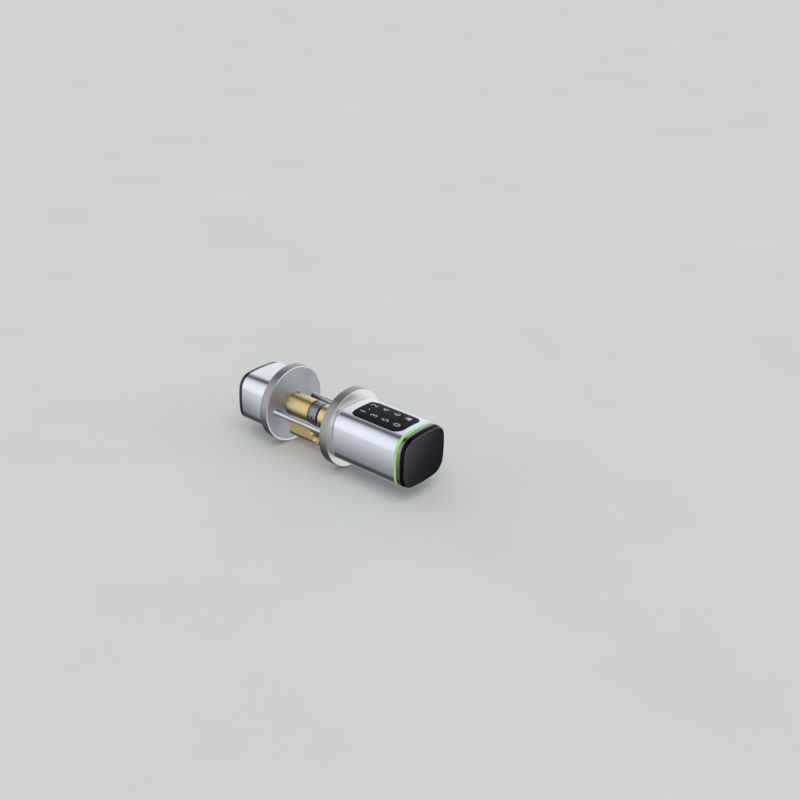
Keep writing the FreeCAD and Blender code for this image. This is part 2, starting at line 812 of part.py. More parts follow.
def clutch_ring():
    """The notched ring on the spindle's end. The clutch bolt enters one of its four notches."""
    ring = Piece("clutch_ring")
    radius = "clutch_radius"
    ring.revolve([("spindle_radius", CLUTCH_BACK), (radius, CLUTCH_BACK), (radius, CLUTCH_FRONT),
                  ("spindle_radius", CLUTCH_FRONT)])
    half, floor = "notch_width / 2", "notch_floor"
    outside = "clutch_radius + overcut"
    ring.drill(rectangle, (f"-{half}", floor), (half, outside))
    ring.drill(rectangle, (f"-{half}", f"-({outside})"), (half, f"-{floor}"))
    ring.drill(rectangle, (floor, f"-{half}"), (outside, half))
    ring.drill(rectangle, (f"-({outside})", f"-{half}"), (f"-{floor}", half))


# ---------------------------------------------------------------- keypad knob


def panel_outline(sketch, grow):
    """The keypad's outline seen from above, grown all round."""
    half = (f"(panel_width / 2 + {grow})", f"(panel_length / 2 + {grow})")
    middle = f"-({PANEL_BACK} + panel_length / 2)"
    rounded_rectangle(sketch, half, f"panel_corner + {grow}", "0", middle)


def knob_housing():
    housing = Piece("knob_housing")
    housing.pad(KNOB_BACK, "housing_length", knob_outline)
    housing.dress("Fillet", "housing_back_edge", at_level(KNOB_BACK))
    housing.dress("Chamfer", "housing_front_edge", at_level(HOUSING_FRONT))
    housing.pocket(HOUSING_FRONT, "housing_length", knob_outline, "housing_wall")
    window = housing.sketch("half_height + overcut", panel_outline, "panel_fit", plane="XY_Plane")
    housing.feature("Pocket", window, Length="half_height")
    limit = number("half_height - housing_wall - overcut")
    back, front = -number(f"{KNOB_BACK} + overcut"), -number(f"{HOUSING_FRONT} - overcut")

    def window_edge(edge):
        box = edge.BoundBox
        inside = box.YMin > front and box.YMax < back
        return inside and box.ZMin > limit and depth_in_knob(edge.Vertexes[0].Point) < 0.01

    housing.dress("Chamfer", "window_edge", window_edge)
    screw = housing.sketch("-half_height - overcut", circle, "set_screw_radius + panel_fit", "0",
                           f"-({HUB_BACK} + hub_thickness / 2)", plane="XY_Plane")
    housing.feature("Pocket", screw, Length="housing_wall + 2 * overcut", Reversed=True)


def keypad_panel():
    """The glossy window, curved like the knob on top and flat beneath."""
    prism = extrusion("panel_prism", panel_outline, "0", plane="height", start="panel_under",
                      length="half_height - panel_under + overcut")
    crown = knob_slice("panel_crown", "panel_recess", f"{PANEL_BACK} - overcut", "panel_length + 2 * overcut")
    keep(common("keypad_panel", [prism, crown]), "keypad_panel")


def keypad_gasket():
    bottom = "panel_under - gasket_thickness"
    outside = extrusion("gasket_outside", panel_outline, "0", plane="height", start=bottom,
                        length="gasket_thickness")
    inside = extrusion("gasket_inside", panel_outline, "(-gasket_band)", plane="height", start=bottom,
                       length="gasket_thickness")
    keep(cut("keypad_gasket", outside, inside), "keypad_gasket")


def touch_board():
    bottom = "panel_under - gasket_thickness - board_thickness"
    board = extrusion("touch_board", panel_outline, "touch_board_margin", plane="height", start=bottom,
                      length="board_thickness")
    keep(board, "touch_board")


def keypad_lights():
    """One small lamp under each key and one for the indicator dot, on the touch board."""
    bottom = "panel_under - gasket_thickness"
    lamps = []
    spots = [(side, row) for row in range(KEY_ROWS) for side in ("-", "+")]
    for side, row in spots:
        x = f"key_shift {side} key_half_gap"
        level = f"{PANEL_BACK} + key_first + {row} * key_pitch"
        name = f"key_lamp_{len(lamps)}"
        lamps.append(lamp(name, x, level, bottom))
    lamps.append(lamp("dot_lamp", "key_shift - dot_shift", f"{PANEL_BACK} + key_first + dot_step", bottom))
    keep(group("keypad_lights", lamps), "keypad_lights")


def lamp(name, x, level, bottom):
    across = (f"{x} - key_led", f"{x} + key_led")
    levels = (f"{level} - key_led / 2", f"{level} + key_led / 2")
    return block(name, across, levels, (bottom, f"{bottom} + key_led / 2"))


def knob_hub():
    """The plate that closes the knob's back and clamps it to the sleeve."""
    hub = Piece("knob_hub")
    hub.pad(HUB_BACK, "hub_thickness", knob_outline, INSIDE)
    hub.drill(circle, "plug_bore")
    for x, z in hub_screw_spots():
        hub.drill(circle, "hub_screw_radius + bolt_clearance", x, z)
        hub.pocket(f"{HUB_BACK} + hub_screw_sink", "hub_thickness", circle, "hub_screw_head + bolt_clearance",
                   x, z)
    groove = hub.sketch(f"{HUB_BACK} + seal_depth", seal_band)
    hub.feature("Pocket", groove, Length="seal_depth + overcut")
    middle = f"-({HUB_BACK} + hub_thickness / 2)"
    screw = hub.sketch("-half_height - overcut", circle, "set_screw_radius + pin_gap", "0", middle,
                       plane="XY_Plane")
    hub.feature("Pocket", screw, Length="half_height + overcut", Reversed=True)


def seal_band(sketch):
    circle(sketch, "seal_inner")
    circle(sketch, "seal_outer")


def hub_screw_spots():
    return [(f"{a}hub_screw_x", f"{b}hub_screw_z") for a in ("", "-") for b in ("", "-")]


def hub_screws():
    screws = []
    head_top, head_seat = f"{HUB_BACK} + hub_head_sink", f"{HUB_BACK} + hub_screw_sink"
    for count, (x, z) in enumerate(hub_screw_spots()):
        tip = f"{head_seat} + hub_screw_length"
        shank = rod(f"hub_shank_{count}", "hub_screw_radius", head_seat, tip, x, z)
        head = rod(f"hub_head_{count}", "hub_screw_head", head_top, head_seat, x, z)
        floor = f"{head_top} + hub_screw_socket_depth"
        socket = hexagon(f"hub_socket_{count}", "hub_screw_socket", head_top, floor, x, z)
        screws.append(cut(f"hub_screw_{count}", fuse(f"hub_blank_{count}", [shank, head]), socket))
    keep(group("hub_screws", screws), "hub_screws")


def knob_set_screw():
    """The grub screw that comes in from under the knob and bites on the sleeve."""
    level = f"{HUB_BACK} + hub_thickness / 2"
    low = "housing_wall - half_height - set_screw_sink"
    shank = upright("set_screw_shank", "set_screw_radius", low, "running_gap - plug_bore", "0", level)
    socket = doc.addObject("Part::Prism", "set_screw_socket_tool")
    socket.Polygon = 6
    socket.setExpression("Circumradius", bound("set_screw_socket"))
    socket.setExpression("Height", bound("set_screw_socket_depth"))
    position(socket, "0", level, low)
    keep(cut("knob_set_screw", shank, socket), "knob_set_screw")


def rose_seal():
    """The rubber lip ring in the hub plate that wipes the rose."""
    seal = Piece("rose_seal")
    low, high = "rose_height + seal_gap", f"{HUB_BACK} + seal_depth"
    seal.revolve([("seal_inner", high), ("seal_outer", high), ("seal_outer", f"{low} + seal_lip"),
                  ("(seal_inner + seal_outer) / 2", low), ("seal_inner", f"{low} + seal_lip")])


def chassis():
    """The moulded carrier for the batteries, motor, boards and clutch, screwed to the hub plate."""
    carrier = Piece("chassis")
    carrier.pad(CHASSIS_BACK, "chassis_length", knob_outline, INSIDE)
    front, play = CHASSIS_FRONT, "chassis_gap"
    # the shelf under the keypad, open at the top
    shelf = f"panel_under - gasket_thickness - board_thickness - {play}"
    shelf_half = f"panel_width / 2 + touch_board_margin + {play}"
    shelf_end = f"-({CHASSIS_BACK} - overcut)"
    shelf_start = f"-({CHASSIS_FRONT} + overcut)"
    room = carrier.sketch(shelf, rectangle, (f"-({shelf_half})", shelf_start), (shelf_half, shelf_end),
                          plane="XY_Plane")
    carrier.feature("Pocket", room, Length="half_height", Reversed=True)
    # the main board's slot, and the motor's room below it with a ledge for the board on each side
    board_half = f"main_board_half + {play}"
    carrier.pocket(front, f"{front} - ({BOARD_BACK} - {play})", rectangle,
                   (f"-({board_half})", "main_board_bottom"), (board_half, f"{shelf} + {play}"))
    motor_half = "motor_room_half"
    carrier.pocket(front, f"{front} - ({MOTOR_BACK} - dog_length / 4)", rectangle,
                   (f"-{motor_half}", "motor_room_floor"), (motor_half, f"main_board_bottom + {play}"))
    # two battery tubes, open at the front
    for x in ("-battery_spread", "battery_spread"):
        carrier.pocket(front, f"{front} - ({BATTERY_BACK} - contact_room)", circle,
                       f"battery_radius + {play}", x, "-battery_drop")
    # the clutch ring's room and the bolt's guide
    carrier.pocket(DOG_TIP, "clutch_thickness + overcut", circle, "clutch_radius + clutch_room")
    guide = "dog_width / 2 + slide_gap"
    carrier.pocket(MOTOR_BACK, f"{MOTOR_BACK} - {CLUTCH_FRONT}", rectangle,
                   (f"-({guide})", "dog_bottom - slide_gap"), (guide, "dog_top + slide_gap"))
    for x, z in hub_screw_spots():
        carrier.pocket(f"{HUB_BACK} + hub_screw_sink + hub_screw_length + hub_screw_room", "hub_screw_length",
                       circle, "hub_screw_radius + pin_gap", x, z)


def battery_contacts():
    """Flat rear contacts, one at the closed end of each battery tube."""
    plates = [
        rod(f"contact_{side}", "contact_radius", f"{BATTERY_BACK} - contact_room",
            f"{BATTERY_BACK} - contact_room + contact_thickness", x, "-battery_drop")
        for side, x in (("left", "-battery_spread"), ("right", "battery_spread"))
    ]
    keep(group("battery_contacts", plates), "battery_contacts")


def batteries():
    cells = []
    for side, x in (("left", "-battery_spread"), ("right", "battery_spread")):
        end = f"{BATTERY_FRONT} - terminal_height"
        can = rod(f"can_{side}", "battery_radius", BATTERY_BACK, end, x, "-battery_drop")
        tip = rod(f"tip_{side}", "terminal_radius", end, BATTERY_FRONT, x, "-battery_drop")
        cells.append(fuse(f"battery_{side}", [can, tip]))
    keep(group("batteries", cells), "batteries")


def main_board():
    low = "main_board_bottom"
    half = "main_board_half"
    heights = (low, f"{low} + board_thickness")
    board = block("main_board", (f"-{half}", half), (BOARD_BACK, BOARD_FRONT), heights)
    keep(board, "main_board")
    chips = []
    for name, (left, start, width, length) in CHIPS.items():
        levels = (f"{KNOB_BACK} + {start}", f"{KNOB_BACK} + {start + length}")
        chips.append(block(name, (f"{left}", f"{left + width}"), levels, (f"{low} - chip_height", low)))
    keep(group("main_board_chips", chips), "main_board_chips")


def flex_cable():
    """The short ribbon that joins the main board to the touch board."""
    low = "main_board_bottom + board_thickness"
    high = "panel_under - gasket_thickness - board_thickness"
    start = f"{KNOB_BACK} + flex_start"
    levels = (start, f"{start} + flex_thickness")
    ribbon = block("flex_cable", ("-flex_half", "flex_half"), levels, (low, high))
    keep(ribbon, "flex_cable")


def buzzer():
    """The sounder hangs under the main board."""
    top = "main_board_bottom"
    level = f"{KNOB_BACK} + buzzer_start"
    disc = upright("buzzer", "buzzer_radius", f"{top} - buzzer_height", top, "-buzzer_x", level)
    keep(disc, "buzzer")


def pogo_connector():
    """Sprung pins on the main board's end that meet the reader board."""
    high = "main_board_bottom"
    back = f"{KNOB_BACK} + pogo_start"
    front = f"{back} + pogo_length"
    body = block("pogo_body", ("-pogo_half", "pogo_half"), (back, front), (f"{high} - pogo_height", high))
    pins = [
        rod(f"pogo_pin_{i}", "pogo_radius", f"{front} - pogo_pin_root", f"{FRONT_BOARD} - running_gap",
            f"{i - (POGO_PINS - 1) / 2} * pogo_pitch", f"{high} - pogo_height / 2")
        for i in range(POGO_PINS)
    ]
    keep(fuse("pogo_connector", [body, *pins]), "pogo_connector")


def reset_switch():
    """The reset switch hangs under the main board's front end, and its button points out."""
    half = "switch_size / 2"
    across = (f"switch_x - {half}", f"switch_x + {half}")
    heights = ("main_board_bottom - switch_size", "main_board_bottom")
    front = BOARD_FRONT
    height = f"main_board_bottom - {half}"
    pocket = "button_length - button_travel / 2"
    case = block("switch_case", across, (f"{front} - switch_depth", front), heights)
    bore = rod("switch_bore", "button_radius + running_gap", f"{front} - ({pocket})", f"{front} + overcut",
               "switch_x", height)
    keep(cut("reset_switch", case, bore), "reset_switch")
    low = f"{front} - ({pocket}) + button_travel + running_gap"
    button = rod("reset_button", "button_radius", low, f"{low} + button_length", "switch_x", height)
    keep(button, "reset_button")


def motor_bracket():
    """The saddle that holds the motor over the battery tubes."""
    start = f"{MOTOR_BACK} + bracket_start"
    end = f"{start} + bracket_length"
    heights = ("motor_room_floor", "bracket_top")
    saddle = block("bracket_blank", ("-bracket_half", "bracket_half"), (start, end), heights)
    bore = rod("bracket_bore", "motor_radius", f"{start} - overcut", f"{end} + overcut", "0", "screw_height")
    keep(cut("motor_bracket", saddle, bore), "motor_bracket")


def clutch_motor():
    z = "screw_height"
    end = f"{MOTOR_BACK} + motor_length"
    case = rod("motor_case", "motor_radius", MOTOR_BACK, end, "0", z)
    bore = rod("motor_bore", "screw_radius + running_gap", f"{MOTOR_BACK} - overcut",
               f"{end} - motor_end_wall", "0", z)
    boss = rod("motor_boss", "motor_boss_radius", end, f"{end} + motor_boss_length", "0", z)
    keep(cut("clutch_motor", fuse("motor_blank", [case, boss]), bore), "clutch_motor")


def motor_screw():
    """The motor's shaft, threaded where the clutch bolt rides on it."""
    z = "screw_height"
    start = f"{DOG_TIP} + dog_length - screw_grip"
    end = f"{MOTOR_BACK} + motor_length - motor_end_wall - running_gap"
    shaft = rod("motor_shaft", "screw_radius", start, end, "0", z)
    grooves = []
    for i in range(THREAD_GROOVES):
        low = f"{start} + thread_start + {i} * thread_pitch"
        high = f"{low} + thread_width"
        ring = rod(f"groove_ring_{i}", "screw_radius + overcut", low, high, "0", z)
        core = rod(f"groove_core_{i}", "screw_radius - thread_depth", low, high, "0", z)
        grooves.append(cut(f"screw_groove_{i}", ring, core))
    keep(cut("motor_screw", shaft, fuse("screw_grooves", grooves)), "motor_screw")


def clutch_bolt():
    half = "dog_width / 2"
    levels = (DOG_TIP, f"{DOG_TIP} + dog_length")
    blank = block("clutch_blank", (f"-{half}", half), levels, ("dog_bottom", "dog_top"))
    bore = rod("clutch_bore", "screw_radius + running_gap", f"{DOG_TIP} + dog_nose",
               f"{DOG_TIP} + dog_length + overcut", "0", "screw_height")
    keep(cut("clutch_bolt", blank, bore), "clutch_bolt")


# ---------------------------------------------------------------- front end of the knob


def light_ring():
    """The diffuser between the housing and the cap, with a spigot that plugs into the housing."""
    ring = Piece("light_ring")
    ring.pad(HOUSING_FRONT, "ring_width", knob_outline, "ring_inset")
    ring.pad(f"{HOUSING_FRONT} - spigot_length", "spigot_length", knob_outline, INSIDE)
    ring.pocket(RING_FRONT, "ring_width + spigot_length", knob_outline, "spigot_depth")


def end_cap():
    """The glossy hood: a straight band, a long bevel, and a seat for the end plate."""
    cap = Piece("end_cap")
    cap.pad(RING_FRONT, "cap_length", knob_outline)
    cap.dress("Chamfer", "bevel_length", at_level(CAP_FRONT), second="bevel_depth")
    cap.pocket(CAP_FRONT, "plate_seat", knob_outline, "plate_inset - plate_groove")
    cap.pocket(CAP_FRONT, "cap_length", knob_outline, "cap_lip")
    hollow = "cap_length - plate_seat - lip_thickness"
    cap.pocket(f"{RING_FRONT} + {hollow}", hollow, knob_outline, "cap_wall")


def end_plate():
    plate = Piece("end_plate")
    thickness = "plate_seat + plate_proud"
    plate.pad(f"{CAP_FRONT} - plate_seat", thickness, knob_outline, "plate_inset")
    plate.dress("Chamfer", "plate_edge", at_level(PLATE_FRONT))


def front_board():
    """The reader board behind the light ring, with lamps round its rim."""
    board = knob_slice("front_board", "front_board_inset", FRONT_BOARD, "board_thickness")
    keep(board, "front_board")
    level = f"{FRONT_BOARD} + board_thickness"
    lamps = []
    for i in range(RING_LAMPS):
        turn = 2 * math.pi * (i + 0.5) / RING_LAMPS
        x = f"{math.cos(turn):.4f} * (half_width - ring_lamp_x_margin)"
        z = f"{math.sin(turn):.4f} * (half_height - ring_lamp_z_margin)"
        across = (f"{x} - ring_lamp_half", f"{x} + ring_lamp_half")
        heights = (f"{z} - ring_lamp_half_height", f"{z} + ring_lamp_half_height")
        lamps.append(block(f"ring_lamp_{i}", across, (level, f"{level} + ring_lamp_thickness"), heights))
    keep(group("ring_lights", lamps), "ring_lights")


def coil_spring(name, x, base, top, z):
    """A round-wire spring along the knob axis, swept turn by turn along its helix."""
    coil = doc.addObject("Part::Helix", name + "_helix")
    coil.Placement.Rotation = FreeCAD.Rotation(Vector(1, 0, 0), 90)
    coil.SegmentLength = 1
    coil.setExpression("Radius", bound("spring_radius"))
    coil.setExpression("Pitch", bound("spring_pitch"))
    coil.setExpression("Height", bound(f"({top}) - ({base}) - 2 * spring_wire"))
    position(coil, x, f"{base} + spring_wire", z)
    section = doc.addObject("Part::Circle", name + "_section")
    section.setExpression("Radius", bound("spring_wire"))
    position(section, f"{x} + spring_radius", f"{base} + spring_wire", z)
    doc.recompute()
    spring = doc.addObject("Part::Sweep", name)
    spring.Sections = [section]
    spring.Spine = (coil, [f"Edge{i}" for i in range(1, len(coil.Shape.Edges) + 1)])
    spring.Solid = True
    spring.Frenet = True
    return spring


def battery_springs():
    """Coil contacts on the reader board that press on the batteries' front ends."""
    base = f"{BATTERY_FRONT} + running_gap"
    springs = [
        coil_spring(f"battery_spring_{side}", x, base, FRONT_BOARD, "-battery_drop")
        for side, x in (("left", "-battery_spread"), ("right", "battery_spread"))
    ]
    keep(group("battery_springs", springs), "battery_springs")


def antenna_board():
    """The card reader's coil, close behind the end plate."""
    front = f"{CAP_FRONT} - plate_seat - antenna_gap"
    board = knob_slice("antenna_blank", "antenna_inset", f"{front} - antenna_thickness", "antenna_thickness")
    keep(board, "antenna_board")


# ---------------------------------------------------------------- inner knob


def inner_knob():
    knob = Piece("inner_knob")
    knob.pad(TURN_FRONT, "turn_length", knob_outline)
    knob.dress("Fillet", "housing_back_edge", at_level(TURN_BACK))
    knob.dress("Chamfer", "housing_front_edge", at_level(TURN_FRONT))
    knob.pocket(f"{TURN_BACK} - turn_floor", "turn_length - turn_floor", knob_outline, "housing_wall")
    knob.drill(circle, "plug_bore", level=TURN_BACK, length="turn_floor / 2")
    knob.drill(circle, "spindle_radius + pin_gap")


def inner_washer():
    """The plain washer between the inner knob's floor and its screw."""
    washer = Piece("inner_washer")
    high = f"{TURN_BACK} - turn_floor"
    low = f"{high} - washer_thickness"
    hole = "turn_screw_radius + washer_clearance"
    washer.revolve([(hole, high), ("washer_radius", high), ("washer_radius", low), (hole, low)])


def inner_knob_screw():
    """The screw along the axis that pulls the inner knob onto the spindle."""
    seat = f"{TURN_BACK} - turn_floor - washer_thickness"
    shank = rod("turn_shank", "turn_screw_radius - pin_gap", seat, f"{seat} + turn_screw_depth")
    top = f"{seat} - turn_screw_head_height"
    head = rod("turn_head", "turn_screw_head", top, seat)
    socket = hexagon("turn_socket_tool", "turn_socket", top, f"{top} + turn_socket_depth")
    keep(cut("inner_knob_screw", fuse("turn_screw_blank", [shank, head]), socket), "inner_knob_screw")


def inner_end_cap():
    """The black cap that closes the inner knob, with a plug that fits inside its wall."""
    cap = Piece("inner_end_cap")
    cap.pad(f"{TURN_FRONT} - turn_cap", "turn_cap", knob_outline)
    cap.dress("Chamfer", "bevel_depth", at_level(f"{TURN_FRONT} - turn_cap"), second="bevel_length")
    cap.pad(TURN_FRONT, "spigot_length", knob_outline, INSIDE)
    cap.pocket(f"{TURN_FRONT} + spigot_length", "spigot_length + turn_cap / 2", knob_outline, "spigot_depth")


def inner_thrust_ring():
    """The nylon thrust ring between the inner knob and its rose."""
    low = "-(door_thickness + rose_height + thrust_gap)"
    washer = Piece("inner_thrust_ring")
    washer.revolve([("seal_inner", low), ("seal_outer", low), ("seal_outer", TURN_BACK),
                    ("seal_inner", TURN_BACK)])


# ---------------------------------------------------------------- build, test and write


def build():
    fill_sheet()
    for side in ("outer", "inner"):
        rose_cover(side)
        rose_base(side)
    rose_bolts()
    cylinder_body()
    anti_drill_pins()
    sleeves_and_clips()
    spindle()
    cam()
    cam_pin()
    clutch_ring()
    knob_housing()
    keypad_panel()
    keypad_gasket()
    touch_board()
    keypad_lights()
    knob_hub()
    hub_screws()
    knob_set_screw()
    rose_seal()
    chassis()
    battery_contacts()
    batteries()
    main_board()
    flex_cable()
    buzzer()
    pogo_connector()
    reset_switch()
    clutch_motor()
    motor_bracket()
    motor_screw()
    clutch_bolt()
    light_ring()
    end_cap()
    end_plate()
    front_board()
    battery_springs()
    antenna_board()
    inner_knob()
    inner_washer()
    inner_knob_screw()
    inner_end_cap()
    inner_thrust_ring()
    doc.recompute()


def check():
    for item in doc.Objects:
        if "Invalid" in item.State or "Error" in item.State:
            raise RuntimeError(f"{item.Label} did not recompute: {item.State}")
    for piece in pieces:
        if piece.Shape.isNull() or not piece.Shape.isValid() or not piece.Shape.Solids:
            raise RuntimeError(f"{piece.Label} has no valid solid")


def write():
    os.makedirs("parts", exist_ok=True)
    for piece in pieces:
        piece.Shape.exportStep(os.path.join("parts", piece.Label + ".step"))
        box = piece.Shape.BoundBox
        print(f"{piece.Label:20s} {len(piece.Shape.Solids)} solid(s) {piece.Shape.Volume:9.1f} mm3  "
              f"x {box.XMin:6.1f} {box.XMax:6.1f}  y {box.YMin:6.1f} {box.YMax:6.1f}  "
              f"z {box.ZMin:6.1f} {box.ZMax:6.1f}")


build()
check()
write()
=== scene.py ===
import json
import math

import bmesh
import bpy
from mathutils import Matrix, Vector


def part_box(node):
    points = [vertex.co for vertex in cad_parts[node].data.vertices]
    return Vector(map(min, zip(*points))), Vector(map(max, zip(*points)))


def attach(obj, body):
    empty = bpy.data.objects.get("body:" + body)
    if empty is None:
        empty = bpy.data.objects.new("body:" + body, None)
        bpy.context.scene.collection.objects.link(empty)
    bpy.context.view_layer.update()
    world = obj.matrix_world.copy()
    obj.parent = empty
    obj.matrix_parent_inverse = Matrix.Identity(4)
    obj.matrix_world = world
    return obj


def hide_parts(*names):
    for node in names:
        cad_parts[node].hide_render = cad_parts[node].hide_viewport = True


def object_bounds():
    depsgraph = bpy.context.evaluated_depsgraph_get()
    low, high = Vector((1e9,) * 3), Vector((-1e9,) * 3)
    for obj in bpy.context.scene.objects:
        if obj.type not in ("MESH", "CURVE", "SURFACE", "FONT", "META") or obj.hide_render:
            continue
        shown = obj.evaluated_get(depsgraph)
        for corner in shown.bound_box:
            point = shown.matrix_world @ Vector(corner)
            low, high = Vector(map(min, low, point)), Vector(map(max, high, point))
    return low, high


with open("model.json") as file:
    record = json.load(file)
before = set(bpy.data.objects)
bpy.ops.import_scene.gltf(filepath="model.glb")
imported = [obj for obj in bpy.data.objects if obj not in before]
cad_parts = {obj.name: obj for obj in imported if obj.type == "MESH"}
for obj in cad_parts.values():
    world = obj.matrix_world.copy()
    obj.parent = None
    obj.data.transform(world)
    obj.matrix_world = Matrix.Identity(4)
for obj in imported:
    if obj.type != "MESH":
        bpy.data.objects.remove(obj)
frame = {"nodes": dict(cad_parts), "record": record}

# Looks of the keypad smart lock. Lengths are in metres. Levels along the knob's axis are Y values: the
# keypad end points to -Y. The knob's section is four shallow arcs joined by four corner arcs. "Inset" is
# always a distance inside that section's outline.

cad_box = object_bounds()
MM = 0.001

# The knob's section and its shell. FIT is the gap between the shell and what sits inside it.
SIDE_ARC = 83 * MM
TOP_ARC = 104 * MM
CORNER_ARC = 10.8 * MM
HALF_WIDTH = 22 * MM
HALF_HEIGHT = 19 * MM
WALL = 1.8 * MM
FIT = 0.15 * MM
INSIDE = WALL + FIT
ROUND_BACK = 0.6 * MM
ROUND_FRONT = 0.22 * MM

# The smoked panel in the top of the knob, and the housing's window round it.
PANEL_CORNER = 6 * MM
PANEL_RECESS = 0.05 * MM
PANEL_RIM = 0.25 * MM
WINDOW_FIT = 0.12 * MM
WINDOW_EDGE = 0.5 * MM
WINDOW_MARGIN = 1.6 * MM

# The signs on the panel. Both columns stand a little to the right. KEY_FIRST is from the panel's back edge to
# the first row, and the dot's place is from the middle of that row.
KEY_SHIFT = 0.9 * MM
KEY_HALF_GAP = 6 * MM
KEY_FIRST = 5.5 * MM
KEY_PITCH = 9.8 * MM
DIGIT_HEIGHT = 5.2 * MM
DIGIT_THINNING = 0.012
FONT_CAPITAL = 0.69
PADLOCK_SIZE = 4.2 * MM
DOT_RADIUS = 0.5 * MM
DOT_ASIDE = 1.2 * MM
DOT_BELOW = 1.6 * MM
MARK_PROUD = 0.03 * MM

# The plate in the hood's front, and its polished edge.
PLATE_INSET = 1.2 * MM
PLATE_EDGE = 0.3 * MM

# The roses: round cups with a hole for the knob's neck.
ROSE_RADIUS = 28 * MM
ROSE_WALL = 1.2 * MM
ROSE_HOLE = 11.5 * MM


def levels(node):
    """A CAD node's ends along the knob's axis: the one with the higher Y, then the other."""
    low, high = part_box(node)
    return high.y, low.y


def spread(first, last, steps):
    """Evenly spaced numbers from first to last, both included."""
    return [first + (last - first) * i / steps for i in range(steps + 1)]


# ---------------------------------------------------------------- the knob's section


def section_arcs():
    """The section's eight arcs, from the right: (centre x, centre z, radius, first angle, last angle)."""
    side_centre = HALF_WIDTH - SIDE_ARC
    top_centre = HALF_HEIGHT - TOP_ARC
    side_reach, top_reach = SIDE_ARC - CORNER_ARC, TOP_ARC - CORNER_ARC
    gap = math.hypot(side_centre, top_centre)
    along = (side_reach**2 - top_reach**2 + gap**2) / (2 * gap)
    aside = math.sqrt(side_reach**2 - along**2)
    across, up = -side_centre / gap, top_centre / gap
    corner_x = side_centre + along * across - aside * up
    corner_z = along * up + aside * across
    low = math.atan2(corner_z, corner_x - side_centre)
    high = math.atan2(corner_z - top_centre, corner_x)
    pi = math.pi
    return [
        (side_centre, 0, SIDE_ARC, -low, low),
        (corner_x, corner_z, CORNER_ARC, low, high),
        (0, top_centre, TOP_ARC, high, pi - high),
        (-corner_x, corner_z, CORNER_ARC, pi - high, pi - low),
        (-side_centre, 0, SIDE_ARC, pi - low, pi + low),
        (-corner_x, -corner_z, CORNER_ARC, pi + low, pi + high),
        (0, -top_centre, TOP_ARC, pi + high, 2 * pi - high),
        (corner_x, -corner_z, CORNER_ARC, 2 * pi - high, 2 * pi - low),
    ]


ARCS = section_arcs()
ARC_STEPS = (18, 30, 26, 30, 18, 30, 26, 30)


def section_rays():
    """The section's points as (centre x, centre z, radius, angle), so that every inset shares the angles."""
    rays = []
    for (x, z, radius, first, last), steps in zip(ARCS, ARC_STEPS):
        rays += [(x, z, radius, angle) for angle in spread(first, last, steps)[:-1]]
    return rays


RAYS = section_rays()


def section_point(ray, inset):
    x, z, radius, angle = ray
    reach = radius - inset
    return x + reach * math.cos(angle), z + reach * math.sin(angle)


def section_points(profile):
    """The section at every (y, inset) of a profile, one ring of points after another."""
    points = []
    for y, inset in profile:
        for ray in RAYS:
            x, z = section_point(ray, inset)
            points.append((x, y, z))
    return points


def crown(x, inset):
    """Height of the section's top at x, that far inside its outline."""
    corner_x, corner_z = ARCS[1][:2]
    top_angle = ARCS[2][3]
    if abs(x) <= (TOP_ARC - inset) * math.cos(top_angle):
        return HALF_HEIGHT - TOP_ARC + math.sqrt((TOP_ARC - inset) ** 2 - x**2)
    aside = abs(x) - corner_x
    return corner_z + math.sqrt((CORNER_ARC - inset) ** 2 - aside**2)


def nearest_arc(point):
    """The arc that a point's mirror image in the upper right quarter lies over: side, corner or top."""
    across, up = abs(point.x), abs(point.z)
    for arc in ARCS[:3]:
        angle = math.atan2(up - arc[1], across - arc[0])
        if angle <= min(arc[4], math.pi / 2):
            return arc
    return ARCS[2]


def inset_at(point):
    """How far inside the section's outline a point lies."""
    arc = nearest_arc(point)
    return arc[2] - math.hypot(abs(point.x) - arc[0], abs(point.z) - arc[1])


def section_normal(point):
    """The section's outward direction at a point of it."""
    arc = nearest_arc(point)
    across, up = abs(point.x) - arc[0], abs(point.z) - arc[1]
    normal = Vector((math.copysign(across, point.x), 0, math.copysign(up, point.z)))
    return normal.normalized()


# ---------------------------------------------------------------- mesh helpers


def link(name, data):
    """Puts a mesh, curve, light or camera into the scene as an object."""
    piece = bpy.data.objects.new(name, data)
    bpy.context.scene.collection.objects.link(piece)
    return piece


def mesh_object(name, points, faces, sharp):
    """A smooth mesh, except at edges sharper than an angle in degrees."""
    mesh = bpy.data.meshes.new(name)
    mesh.from_pydata(points, [], faces)
    mesh.validate()
    body = bmesh.new()
    body.from_mesh(mesh)
    bmesh.ops.recalc_face_normals(body, faces=body.faces)
    body.to_mesh(mesh)
    body.free()
    mesh.shade_smooth()
    mesh.set_sharp_from_angle(angle=math.radians(sharp))
    return link(name, mesh)


def bridge(near, far):
    """Quads between two closed loops of point numbers."""
    near_next = near[1:] + near[:1]
    far_next = far[1:] + far[:1]
    return list(zip(near, near_next, far_next, far))


def bridges(loops):
    """Quads between each loop of point numbers and the next."""
    faces = []
    for near, far in zip(loops, loops[1:]):
        faces += bridge(near, far)
    return faces


def numbered_rings(count, around):
    """The point numbers of rings that were made one after another."""
    return [list(range(j * around, (j + 1) * around)) for j in range(count)]


